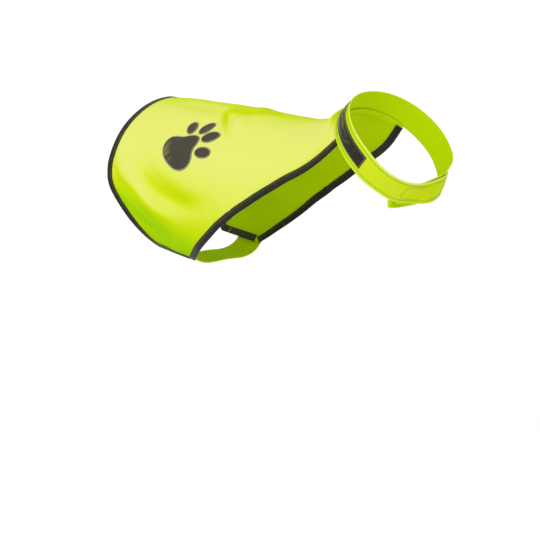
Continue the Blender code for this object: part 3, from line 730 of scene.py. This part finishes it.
def bellyPatchOn(girth, height, lift):  # the same for a patch, which lies on the saddle's shape
    return bellyPoint(girth, height - collar["patchWidth"] / 2, lift)


def bellyBand(name, girthFrom, girthTo, profile, place):
    steps = round((girthTo - girthFrom) / belly["degreesPerStep"])
    girth = np.linspace(girthFrom, girthTo, steps + 1)[:, None]
    height, lift = np.array(profile).T
    uv = np.stack(np.broadcast_arrays(np.radians(girth) * belly["meanRadius"], height), -1)
    return closedBand(name, place(girth, height, lift), uv)


def makeBellyStrap():
    patch = collar["patchWidth"]
    profile = ribbonProfile(belly["width"], 0.05 * mm, collar["strap"], belly["hem"])
    made = [bellyBand("belly_ribbon", belly["sewnGirth"], belly["lapGirth"], profile, bellyOn)]
    for name, low in (("belly_loop_strip", loopLow), ("belly_hook_strip", hookLow)):
        profile = tapeProfile(patch, patch / 2, low + 0.05 * mm, low + 0.95 * mm)
        made.append(bellyBand(name, belly["loopFrom"], belly["loopTo"], profile, bellyPatchOn))
    return made


# The paw on each flank

paw = {
    "along": 130 * mm,
    "girth": 59,
    "turn": 43.5,  # degrees that it points up from the way to the neck
    "padSetBack": 2 * mm,
    "stitchesIn": 1.0 * mm,
    # the pad's outline: the angle from its tip towards the spine, and the reach in mm
    "padReach": [(0, 40.5), (12, 37.5), (24, 32), (38, 27), (55, 25.2), (75, 27.7), (96, 31.3),
                 (118, 31.5), (140, 28.6), (165, 23.8), (190, 21), (215, 21), (240, 23), (265, 26),
                 (290, 28.3), (310, 27.6), (326, 26.2), (341, 29.5), (351, 36), (360, 40.5)],
    # turn from the paw's middle line, reach, length, breadth and tilt
    "toes": {
        "upper_outer": (39.5, 40.2, 22, 18, 8),
        "upper_inner": (11.5, 53, 28.5, 15.5, -6),
        "lower_inner": (-9.2, 54.4, 31, 17, -9),
        "lower_outer": (-35, 43, 29, 16.5, -4),
    },
}
# Creases where the paw's tape has been bent: from, to (u, v in mm), height, half width. Then the painted
# reflections of the yellow cloth on the tape: from, to, how much, half width
pawCreases = [
    ((-25, 18), (-11, 17), 0.45, 1.2), ((-26, 12), (-9, 9), 0.5, 1.2), ((-25, 6), (-12, 4), -0.45, 1.5),
    ((-22, -3), (-12, -4), 0.35, 1.3), ((-20, 24), (-8, 22), -0.3, 1.6), ((6, 12), (24, 7), -0.15, 3.0),
    ((8, -14), (22, -4), 0.12, 2.8), ((36, 22), (43, 28), 0.15, 1.8), ((46, -12), (58, -9), -0.15, 2.0),
]
pawPaintedReflections = [((-21, 24), (-21, 6), 0.36, 5.5), ((-24, 13), (-11, 13), 0.38, 1.7),
             ((-22, 18), (-8, 22), 0.42, 2.6), ((-17, 23), (-6, 26), 0.26, 2.4),
             ((-21, 1), (-13, 3), 0.32, 1.8), ((44, 8), (60, 12), 0.08, 3.0)]


def pawPlace(side):
    turn = np.radians(paw["turn"])
    forward, roundBody = slopes(paw["along"], paw["girth"])
    perMetreAlong, perMetreRound = 1 / np.linalg.norm(forward), 1 / np.linalg.norm(roundBody)

    def place(u, v, lift):
        ahead = u * np.cos(turn) - v * np.sin(turn)
        upwards = u * np.sin(turn) + v * np.cos(turn)
        girth = paw["girth"] - upwards * perMetreRound
        return wornPoint(paw["along"] + ahead * perMetreAlong, side * girth, lift)

    return place


def padOutline(count):
    angle = np.linspace(0, 360, count, endpoint=False)
    table = np.array(paw["padReach"], float)
    reach = throughPoints(table[:, 0], table[:, 1] * mm, angle)
    turn = np.radians(angle)
    return np.stack([reach * np.cos(turn) - paw["padSetBack"], reach * np.sin(turn)], -1)


def toeOutline(turn, reach, length, breadth, tilt, count):
    angle = np.linspace(0, 2 * np.pi, count, endpoint=False)
    u, v = length / 2 * np.cos(angle) * mm, breadth / 2 * np.sin(angle) * mm
    turn, lie = np.radians(turn), np.radians(turn + tilt)
    u, v = u * np.cos(lie) - v * np.sin(lie), u * np.sin(lie) + v * np.cos(lie)
    return np.stack([u + reach * mm * np.cos(turn), v + reach * mm * np.sin(turn)], -1)


# The last rings of each tape, in mm from its cut edge and in mm down, so that the edge is rounded
cutEdge = [(1.2, 0.12), (0.8, 0.10), (0.35, 0.06), (0.08, 0.22), (0.0, 0.5)]


def patchDisc(name, outline, place, ringCount):
    # rings from the middle out, then the same again inwards at the back
    centre = outline.mean(0)
    size = np.linalg.norm(outline - centre, axis=-1).mean()
    shares = np.linspace(0, 1, ringCount + 1)[1:-1].tolist()
    shares = [s * (1 - 1.8 * mm / size) / shares[-1] for s in shares]
    drops = [0.0] * len(shares) + [down for inwards, down in cutEdge]
    shares += [1 - inwards * mm / size for inwards, down in cutEdge]
    low, high = cloth["thickness"] + 0.15 * mm, cloth["thickness"] + cloth["seamGap"] + 0.45 * mm
    points, flat, paintedHighlights = [], [], []

    def ring(share, lift, creased):
        places = centre + (outline - centre) * share
        fold = strokeSum(pawCreases, *places.T) * (creased * min(1, (1 - share) * 9))
        points.extend(place(*places.T, lift + fold * mm).tolist())
        flat.extend(places.tolist())
        # painted highlights: glints on the creases, and painted reflections of the yellow cloth
        paintedHighlights.extend((0.3 * fold + strokeSum(pawPaintedReflections, *places.T)).tolist())

    def middlePoint(lift):
        points.extend(place(*centre[:, None], lift).tolist())
        flat.append(centre.tolist())
        paintedHighlights.append(0.0)

    middlePoint(high)
    for share, drop in zip(shares, drops):
        ring(share, high - drop * mm, True)
    for share in reversed(shares[::3] + [1.0]):
        ring(share, low, False)
    middlePoint(low)
    index, faces = ringFaces((len(points) - 2) // len(outline), len(outline), 1)
    first, last = index[0], index[-1]
    for a, b, c, d in zip(first, first[1:] + first[:1], last, last[1:] + last[:1]):
        faces += [[0, b, a], [len(points) - 1, c, d]]
    made = outwards(makeMesh(name, points, faces, flat))
    giveNumber(made, "painted_highlight", paintedHighlights)
    return made


def lineOn(place, u, v, lift):  # a line of stitches on a surface, and the way out at each point
    line = place(u, v, lift)
    return line, unit(place(u, v, lift + 1 * mm) - line)


def insetLine(outline, place, inset, lift):
    centre = outline.mean(0)
    size = np.linalg.norm(outline - centre, axis=-1, keepdims=True)
    places = centre + (outline - centre) * (1 - inset / size)
    return lineOn(place, *np.concatenate([places, places[:1]]).T, lift)


def makePaws():
    pieces, lines = [], []
    lift = cloth["thickness"] + cloth["seamGap"] + 0.40 * mm
    for sideName, side in (("right", 1), ("left", -1)):
        place = pawPlace(side)
        shapes = {"paw_pad": padOutline(110)}
        for toe, sizes in paw["toes"].items():
            shapes["paw_toe_" + toe] = toeOutline(*sizes, 64)
        for shape, outline in shapes.items():
            node = f"{shape}_{sideName}"
            made = patchDisc(node + "_tape", outline, place, 16 if "pad" in shape else 9)
            pieces.append((made, node))
            lines.append(insetLine(outline, place, paw["stitchesIn"], lift))
    return pieces, lines


# Nodes

def giveInputs(node, inputs):  # each input gets a value, or a link where a socket is given
    for name, value in inputs.items():
        if isinstance(value, bpy.types.NodeSocket):
            node.id_data.links.new(value, node.inputs[name])
        else:
            node.inputs[name].default_value = value


def addNode(tree, kind, inputs=None, **settings):
    node = tree.nodes.new(kind)
    for name, value in settings.items():
        setattr(node, name, value)
    giveInputs(node, inputs or {})
    return node


def mathNode(tree, kind, *values, clamp=False):
    numbers = dict(enumerate(values))
    return addNode(tree, "ShaderNodeMath", numbers, operation=kind, use_clamp=clamp).outputs[0]


def newGroup(name, inputs, outputs, kind="ShaderNodeTree"):
    tree = bpy.data.node_groups.new(name, kind)
    for label, socketKind, value in inputs:
        socket = tree.interface.new_socket(label, in_out="INPUT", socket_type="NodeSocket" + socketKind)
        if value is not None:
            socket.default_value = value
    for label, socketKind in outputs:
        tree.interface.new_socket(label, in_out="OUTPUT", socket_type="NodeSocket" + socketKind)
    return tree, tree.nodes.new("NodeGroupInput").outputs, tree.nodes.new("NodeGroupOutput")


# Stitches: one small bead of thread, laid again and again along a line by Geometry Nodes

stitch = {
    "tape": {"Length": 2.3 * mm, "Gap": 0.6 * mm, "Thickness": 0.7 * mm, "Seed": 3},
    "paw": {"Length": 2.0 * mm, "Gap": 0.25 * mm, "Thickness": 0.95 * mm, "Seed": 5},
    "strap": {"Length": 2.5 * mm, "Gap": 0.4 * mm, "Thickness": 1.0 * mm, "Seed": 8},
}


def stitchTree():
    tree, given, made = newGroup(
        "stitch row", [("Geometry", "Geometry", None), ("Length", "Float", mm), ("Gap", "Float", mm),
                       ("Thickness", "Float", mm), ("Seed", "Int", None), ("Material", "Material", None)],
        [("Geometry", "Geometry")], "GeometryNodeTree")
    curve = addNode(tree, "GeometryNodeMeshToCurve", {"Mesh": given["Geometry"]})
    step = mathNode(tree, "ADD", given["Length"], given["Gap"])
    spaced = addNode(tree, "GeometryNodeResampleCurve", {"Curve": curve.outputs["Curve"]}, mode="LENGTH")
    giveInputs(spaced, {"Length": step})
    outward = addNode(tree, "GeometryNodeInputNamedAttribute", {"Name": "outward"}, data_type="FLOAT_VECTOR")
    tangent = addNode(tree, "GeometryNodeInputTangent")
    turn = addNode(tree, "FunctionNodeAxesToRotation", {
        "Primary Axis": tangent.outputs["Tangent"], "Secondary Axis": outward.outputs["Attribute"],
    }, primary_axis="X", secondary_axis="Z")
    uneven = addNode(tree, "FunctionNodeRandomValue", {
        "Min": (0.85, 0.85, 0.8), "Max": (1.08, 1.1, 1.15), "Seed": given["Seed"],
    }, data_type="FLOAT_VECTOR")
    ball = addNode(tree, "GeometryNodeMeshUVSphere", {"Segments": 8, "Rings": 5, "Radius": 0.5})
    size = addNode(tree, "ShaderNodeCombineXYZ", {
        "X": given["Length"], "Y": given["Thickness"],
        "Z": mathNode(tree, "MULTIPLY", given["Thickness"], 0.8)})
    shaped = addNode(tree, "GeometryNodeTransform", {
        "Geometry": ball.outputs["Mesh"], "Scale": size.outputs["Vector"]})
    laid = addNode(tree, "GeometryNodeInstanceOnPoints", {
        "Points": spaced.outputs["Curve"], "Instance": shaped.outputs["Geometry"],
        "Rotation": turn.outputs["Rotation"], "Scale": uneven.outputs["Value"]})
    real = addNode(tree, "GeometryNodeRealizeInstances", {"Geometry": laid.outputs["Instances"]})
    smooth = addNode(tree, "GeometryNodeSetShadeSmooth", {"Geometry": real.outputs["Geometry"]})
    painted = addNode(tree, "GeometryNodeSetMaterial", {
        "Geometry": smooth.outputs["Geometry"], "Material": given["Material"]})
    giveInputs(made, {"Geometry": painted.outputs["Geometry"]})
    return tree


stitchRowTree = stitchTree()


def stitchRows(name, lines, style, thread):
    points, edges, outs = [], [], []
    for line, out in lines:
        start = len(points)
        points += line.tolist()
        outs += np.broadcast_to(out, line.shape).tolist()
        edges += [(start + i, start + i + 1) for i in range(len(line) - 1)]
    data = bpy.data.meshes.new(name)
    data.from_pydata(points, edges, [])
    outward = data.attributes.new("outward", "FLOAT_VECTOR", "POINT")
    outward.data.foreach_set("vector", np.array(outs, np.float32).ravel())
    row = bpy.data.objects.new(name + "_line", data)
    bpy.context.scene.collection.objects.link(row)
    modifier = row.modifiers.new("stitches", "NODES")
    modifier.node_group = stitchRowTree
    values = dict(stitch[style], Material=finishes[thread])
    for item in stitchRowTree.interface.items_tree:
        if item.item_type == "SOCKET" and item.in_out == "INPUT" and item.name in values:
            modifier[item.identifier] = values[item.name]
    bpy.context.view_layer.update()
    graph = bpy.context.evaluated_depsgraph_get()
    plain = bpy.data.meshes.new_from_object(row.evaluated_get(graph), depsgraph=graph)
    plain.name = name
    made = bpy.data.objects.new(name, plain)
    bpy.context.scene.collection.objects.link(made)
    row.modifiers.remove(modifier)
    bpy.data.objects.remove(row)
    return made


# Shader groups that several finishes share. Each gives only colours, masks and heights

def knitGroup():  # columns of small V-shaped loops, as in a warp knit
    tree, given, made = newGroup(
        "knit loops", [("Vector", "Vector", None), ("Loops per metre", "Float", 900.0)],
        [("Height", "Float")])
    maths = partial(mathNode, tree)
    split = addNode(tree, "ShaderNodeSeparateXYZ", {0: given["Vector"]})
    u, v = [maths("MULTIPLY", split.outputs[axis], given["Loops per metre"]) for axis in ("X", "Y")]
    across = maths("ABSOLUTE", maths("SUBTRACT", maths("FRACT", v), 0.5))
    slant = maths("FRACT", maths("MULTIPLY_ADD", across, 1.1, u))
    ridge = maths("SUBTRACT", 1.0, maths("ABSOLUTE", maths("MULTIPLY_ADD", slant, 2.0, -1.0)))
    inLoop = maths("MULTIPLY", maths("SUBTRACT", across, 0.25), 4.0)
    side = maths("SUBTRACT", 1.0, maths("POWER", inLoop, 2.0), clamp=True)
    giveInputs(made, {"Height": maths("MULTIPLY", maths("SMOOTH_MIN", ridge, 0.8, 0.3), side)})
    return tree


def weaveGroup():  # over and under of a close plain weave
    tree, given, made = newGroup(
        "plain weave", [("Vector", "Vector", None), ("Threads per metre", "Float", 1100.0)],
        [("Height", "Float")])
    maths = partial(mathNode, tree)
    split = addNode(tree, "ShaderNodeSeparateXYZ", {0: given["Vector"]})
    waves = []
    for axis in ("X", "Y"):
        at = maths("MULTIPLY", split.outputs[axis], given["Threads per metre"])
        waves.append(maths("SINE", maths("MULTIPLY", at, math.pi)))
    giveInputs(made, {"Height": maths("MULTIPLY_ADD", maths("MULTIPLY", *waves), 0.5, 0.5)})
    return tree


def limeGroup():  # painted light and shade as colour: pale where the light is painted as falling full on it, deep green painted shade where it turns away
    tree, given, made = newGroup(
        "lime painted shading", [("Painted shading", "Float", 0.5), ("Vector", "Vector", None), ("Uneven", "Float", 0.04)],
        [("Color", "Color")])
    maths = partial(mathNode, tree)
    cloudy = addNode(tree, "ShaderNodeTexNoise", {"Scale": 28.0, "Detail": 3.0, "Vector": given["Vector"]})
    shift = maths("MULTIPLY", maths("SUBTRACT", cloudy.outputs["Fac"], 0.5), given["Uneven"])
    ramp = addNode(tree, "ShaderNodeValToRGB", {"Fac": maths("ADD", given["Painted shading"], shift, clamp=True)})
    colours = [(0.0, (0.25, 0.50, 0.0005)), (0.25, (0.33, 0.55, 0.001)), (0.4, (0.43, 0.60, 0.001)),
               (0.55, (0.49, 0.61, 0.004)), (0.7, (0.55, 0.65, 0.025)), (0.8, (0.60, 0.68, 0.075)),
               (0.95, (0.645, 0.675, 0.14))]
    stops = ramp.color_ramp.elements
    for stop, (place, colour) in zip(stops, (colours[0], colours[-1])):
        stop.position, stop.color = place, (*colour, 1)
    for place, colour in colours[1:-1]:
        stops.new(place).color = (*colour, 1)
    giveInputs(made, {"Color": ramp.outputs["Color"]})
    return tree


def beadAndGlintGroup():  # glass beads and small random scuffs of reflective tape, with painted highlights: glints on creases and reflections of the cloth
    tree, given, made = newGroup(
        "reflective beads and painted highlights", [("Vector", "Vector", None), ("Color", "Color", (0.016, 0.015, 0.012, 1))],
        [("Color", "Color"), ("Roughness", "Float"), ("Height", "Float")])
    maths = partial(mathNode, tree)
    paintedHighlight = addNode(tree, "ShaderNodeAttribute", attribute_name="painted_highlight").outputs["Fac"]
    beads = addNode(tree, "ShaderNodeTexVoronoi", {"Scale": 1700.0, "Vector": given["Vector"]})
    scuffs = addNode(tree, "ShaderNodeTexNoise", {
        "Scale": 160.0, "Detail": 5.0, "Vector": given["Vector"]}).outputs["Fac"]
    spot = maths("MULTIPLY", maths("SUBTRACT", scuffs, 0.5), 0.35, clamp=True)
    # lighter towards olive where the mesh carries painted highlights, and a little at the random scuffs
    lighter = addNode(tree, "ShaderNodeMix", data_type="RGBA")
    giveInputs(lighter, {"Factor": maths("MULTIPLY_ADD", paintedHighlight, 1.1, spot, clamp=True),
                         "A": given["Color"], "B": (0.19, 0.19, 0.025, 1)})
    giveInputs(made, {"Color": lighter.outputs["Result"], "Height": beads.outputs["Distance"],
                      "Roughness": maths("MULTIPLY_ADD", scuffs, 0.22, 0.28)})
    return tree


groups = {"knit": knitGroup(), "weave": weaveGroup(), "lime": limeGroup(), "beads": beadAndGlintGroup()}
counted = {"knit": "Loops per metre", "weave": "Threads per metre"}


def newFinish(name):
    made = bpy.data.materials.new(name)
    made.use_nodes = True
    return made, made.node_tree.nodes["Principled BSDF"]


def groupNode(tree, key, inputs):
    return addNode(tree, "ShaderNodeGroup", inputs, node_tree=groups[key])


def raised(tree, height, distance, strength):
    inputs = {"Height": height, "Distance": distance, "Strength": strength}
    return addNode(tree, "ShaderNodeBump", inputs).outputs["Normal"]


def limeFinish(name, pattern, perMetre, sheen, roughness, depth):
    made, shader = newFinish(name)
    tree = made.node_tree
    lay = addNode(tree, "ShaderNodeUVMap", uv_map="weave")
    painted_shading = addNode(tree, "ShaderNodeAttribute", attribute_name="painted_shading")
    place = addNode(tree, "ShaderNodeTexCoord")
    coloured = groupNode(tree, "lime", {"Painted shading": painted_shading.outputs["Fac"], "Vector": place.outputs["Object"]})
    threads = groupNode(tree, pattern, {"Vector": lay.outputs["UV"], counted[pattern]: perMetre})
    giveInputs(shader, {
        "Base Color": coloured.outputs["Color"],
        "Normal": raised(tree, threads.outputs["Height"], depth, 0.5),
        "Roughness": roughness, "Sheen Weight": sheen, "Sheen Roughness": 0.4,
        "Sheen Tint": (0.95, 1.0, 0.15, 1), "Specular IOR Level": 0.01})
    return made


def tapeFinish(name, colour, gloss):
    made, shader = newFinish(name)
    tree = made.node_tree
    place = addNode(tree, "ShaderNodeTexCoord")
    beads = groupNode(tree, "beads", {"Vector": place.outputs["Object"], "Color": (*colour, 1.0)})
    giveInputs(shader, {
        "Base Color": beads.outputs["Color"], "Roughness": beads.outputs["Roughness"],
        "Normal": raised(tree, beads.outputs["Height"], 0.06 * mm, 0.4), "Specular IOR Level": gloss})
    return made


def threadFinish(name, colour):
    made, shader = newFinish(name)
    tree = made.node_tree
    place = addNode(tree, "ShaderNodeTexCoord")
    twist = addNode(tree, "ShaderNodeTexNoise", {"Scale": 900.0, "Vector": place.outputs["Object"]})
    mixed = addNode(tree, "ShaderNodeMix", data_type="RGBA")
    giveInputs(mixed, {"Factor": twist.outputs["Fac"], "A": (*[c * 0.75 for c in colour], 1),
                       "B": (*[min(1, c * 1.15) for c in colour], 1)})
    giveInputs(shader, {"Base Color": mixed.outputs["Result"], "Roughness": 0.55, "Sheen Weight": 0.2})
    return made


finishes = {
    "knit": limeFinish("vest_knit", "knit", 820.0, 0.04, 0.8, 0.12 * mm),
    "ribbon": limeFinish("strap_weave", "weave", 950.0, 0.04, 0.75, 0.12 * mm),
    "hook": limeFinish("hook_fastener", "weave", 620.0, 0.02, 0.7, 0.5 * mm),
    "loop": limeFinish("loop_fastener", "knit", 500.0, 0.15, 0.9, 0.6 * mm),
    "pawTape": tapeFinish("paw_tape", (0.032, 0.029, 0.015), 0.32),
    "edgeTape": tapeFinish("binding_tape", (0.005, 0.0045, 0.003), 0.14),
    "collarTape": tapeFinish("collar_tape", (0.011, 0.0115, 0.004), 0.17),
    "pawThread": threadFinish("paw_thread", (0.52, 0.49, 0.37)),
    "edgeThread": threadFinish("binding_thread", (0.13, 0.13, 0.12)),
    "collarThread": threadFinish("collar_tape_thread", (0.30, 0.30, 0.24)),
    "strapThread": threadFinish("strap_thread", (0.15, 0.28, 0.003)),
}

print("stage: saddle")
saddle = makeSaddle()
print("stage: bindings")
(rearTape, rearLine), (rightTape, rightLine), (leftTape, leftLine) = makeBindings()
print("stage: collar")
ribbon, collarTape = makeRibbon(), makeCollarTape()
hookStrip = collarPatch("collar_hook_strip", collar["hookPatch"], strapInside - 1.3 * mm)
loopStrip = collarPatch("collar_loop_strip", collar["loopPatch"], strapOutside + 0.3 * mm)
print("stage: belly strap")
bellyRibbon, bellyLoop, bellyHook = makeBellyStrap()
for piece in (bellyRibbon, bellyLoop, bellyHook):
    givePaintedShading(piece, paintedLight["strap"])
print("stage: paws")
pawPieces, pawLines = makePaws()
pawTapes = [piece for piece, node in pawPieces]

finishOf = {
    "knit": [saddle], "ribbon": [ribbon, bellyRibbon], "hook": [hookStrip, bellyHook],
    "loop": [loopStrip, bellyLoop], "edgeTape": [rearTape, rightTape, leftTape],
    "collarTape": [collarTape], "pawTape": pawTapes,
}
for finish, pieces in finishOf.items():
    for piece in pieces:
        piece.data.materials.append(finishes[finish])

print("stage: stitches")


def rounded(middleU, halfU, middleV, halfV, power, steps):  # a rectangle with round corners, closed
    turn = np.linspace(0, 2 * np.pi, steps)
    return (middleU + halfU * signedPower(np.cos(turn), power),
            middleV + halfV * signedPower(np.sin(turn), power))


tapeStitches = stitchRows("tape_stitches", [rearLine, rightLine, leftLine], "tape", "edgeThread")
pawStitches = stitchRows("paw_stitches", pawLines, "paw", "pawThread")

hemSunk, patchRaised = 0.30 * mm, 0.02 * mm  # how the stitches lie in or on the ribbon's face
patchHalf = collar["patchWidth"] / 2 + 0.5 * mm
strapLines = []
course = np.linspace(courseTable[0, 0] + 1.5, courseTable[-1, 0] - 1.5, 500)
for hemHeight in (collar["hem"], collar["width"] - collar["hem"]):
    strapLines.append(lineOn(collarPoint, course, hemHeight, strapOutside - hemSunk))
outline = rounded(*collar["patchLine"], collar["width"] / 2, patchHalf, 2 / 7, 160)
strapLines.append(lineOn(collarPoint, *outline, strapOutside + patchRaised))
ribbonStitches = stitchRows("ribbon_stitches", strapLines, "strap", "strapThread")

bellyLines = []
course = np.linspace(belly["sewnGirth"] + 1, belly["lapGirth"] - 1, 200)
for hemHeight in (belly["hem"], belly["width"] - belly["hem"]):
    bellyLines.append(lineOn(bellyOn, course, hemHeight, collar["strap"] - hemSunk))
outline = rounded(*belly["patchLine"], belly["width"] / 2, patchHalf, 0.3, 120)
bellyLines.append(lineOn(bellyOn, *outline, collar["strap"] + patchRaised))
bellyStitches = stitchRows("belly_stitches", bellyLines, "strap", "strapThread")

lengthwise, crosswise = np.linspace(-1, 1, 300), np.linspace(-1, 1, 20)
longEdge, shortEdge = np.ones(300), np.ones(20)
endAngle = collar["tapeEnd"] - math.degrees(collar["tapeSeam"] / neckRadius)
endHeight = collar["tapeWidth"] / 2 - collar["tapeSeam"]
angles = endAngle * np.concatenate([lengthwise, shortEdge, -lengthwise, -shortEdge])
heights = endHeight * np.concatenate([-longEdge, crosswise, longEdge, -crosswise])
tapeLine = lineOn(collarPoint, angles, collar["width"] / 2 + heights,
                  strapOutside + cloth["seamGap"] + 0.52 * mm)
collarTapeStitches = stitchRows("collar_tape_stitches", [tapeLine], "tape", "collarThread")

print("stage: seats")
replaced = {
    "saddle": saddle, "rear_binding": rearTape, "front_binding_right": rightTape,
    "front_binding_left": leftTape, "collar_strap": ribbon, "collar_tape": collarTape,
    "collar_hook_patch": hookStrip, "collar_loop_patch": loopStrip, "belly_strap": bellyRibbon,
    "belly_hook_patch": bellyHook, "belly_loop_patch": bellyLoop,
}
replaced.update({node: piece for piece, node in pawPieces})
for node, piece in replaced.items():
    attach(piece, "root")
    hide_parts(node)
for piece, slotName in ((tapeStitches, "reflective_tape"), (pawStitches, "reflective_tape"),
                        (collarTapeStitches, "reflective_tape"), (ribbonStitches, "strap_cloth"),
                        (bellyStitches, "strap_cloth")):
    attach(piece, "root")

print("stage: floor, light and camera")

studio = {
    "floor": -0.62,
    "floorReach": 40.0,
    "sun": 0.9,
    "sunWidth": 32,  # degrees: a wide sun gives soft shadows
    "sunTurned": (58, 0, 12),
    "sky": 1.0,
}
view = {
    "from": (1.7605789, -1.8580813, 0.5062052),
    "side": 43,  # degrees round from behind, and up
    "up": 16,
    "lens": 127.47,
    "sensor": 36,
    "near": 0.05,
    "far": 60,
}


def makeFloor():
    reach = studio["floorReach"]
    corners = [(-1, -1), (1, -1), (1, 1), (-1, 1)]
    floor = makeMesh("floor", [(x * reach, y * reach, studio["floor"]) for x, y in corners], [[0, 1, 2, 3]])
    plain, shader = newFinish("pale_floor")
    giveInputs(shader, {"Base Color": (0.93, 0.93, 0.93, 1), "Roughness": 1.0, "Specular IOR Level": 0.0})
    floor.data.materials.append(plain)


makeFloor()
scene = bpy.context.scene
sunData = bpy.data.lights.new("soft_key", "SUN")
sunData.energy = studio["sun"]
sunData.angle = math.radians(studio["sunWidth"])
sun = bpy.data.objects.new("soft_key", sunData)
scene.collection.objects.link(sun)
sun.rotation_euler = np.radians(studio["sunTurned"])

world = bpy.data.worlds.new("studio")
scene.world = world
world.use_nodes = True
giveInputs(world.node_tree.nodes["Background"], {"Color": (1, 1, 1, 1), "Strength": studio["sky"]})
scene.view_settings.view_transform = "Standard"

cameraData = bpy.data.cameras.new("camera")
cameraData.lens, cameraData.sensor_width = view["lens"], view["sensor"]
cameraData.clip_start, cameraData.clip_end = view["near"], view["far"]
camera = bpy.data.objects.new("camera", cameraData)
scene.collection.objects.link(camera)
camera.location = view["from"]
camera.rotation_euler = (math.pi / 2 - math.radians(view["up"]), 0, math.radians(view["side"]))
scene.camera = camera
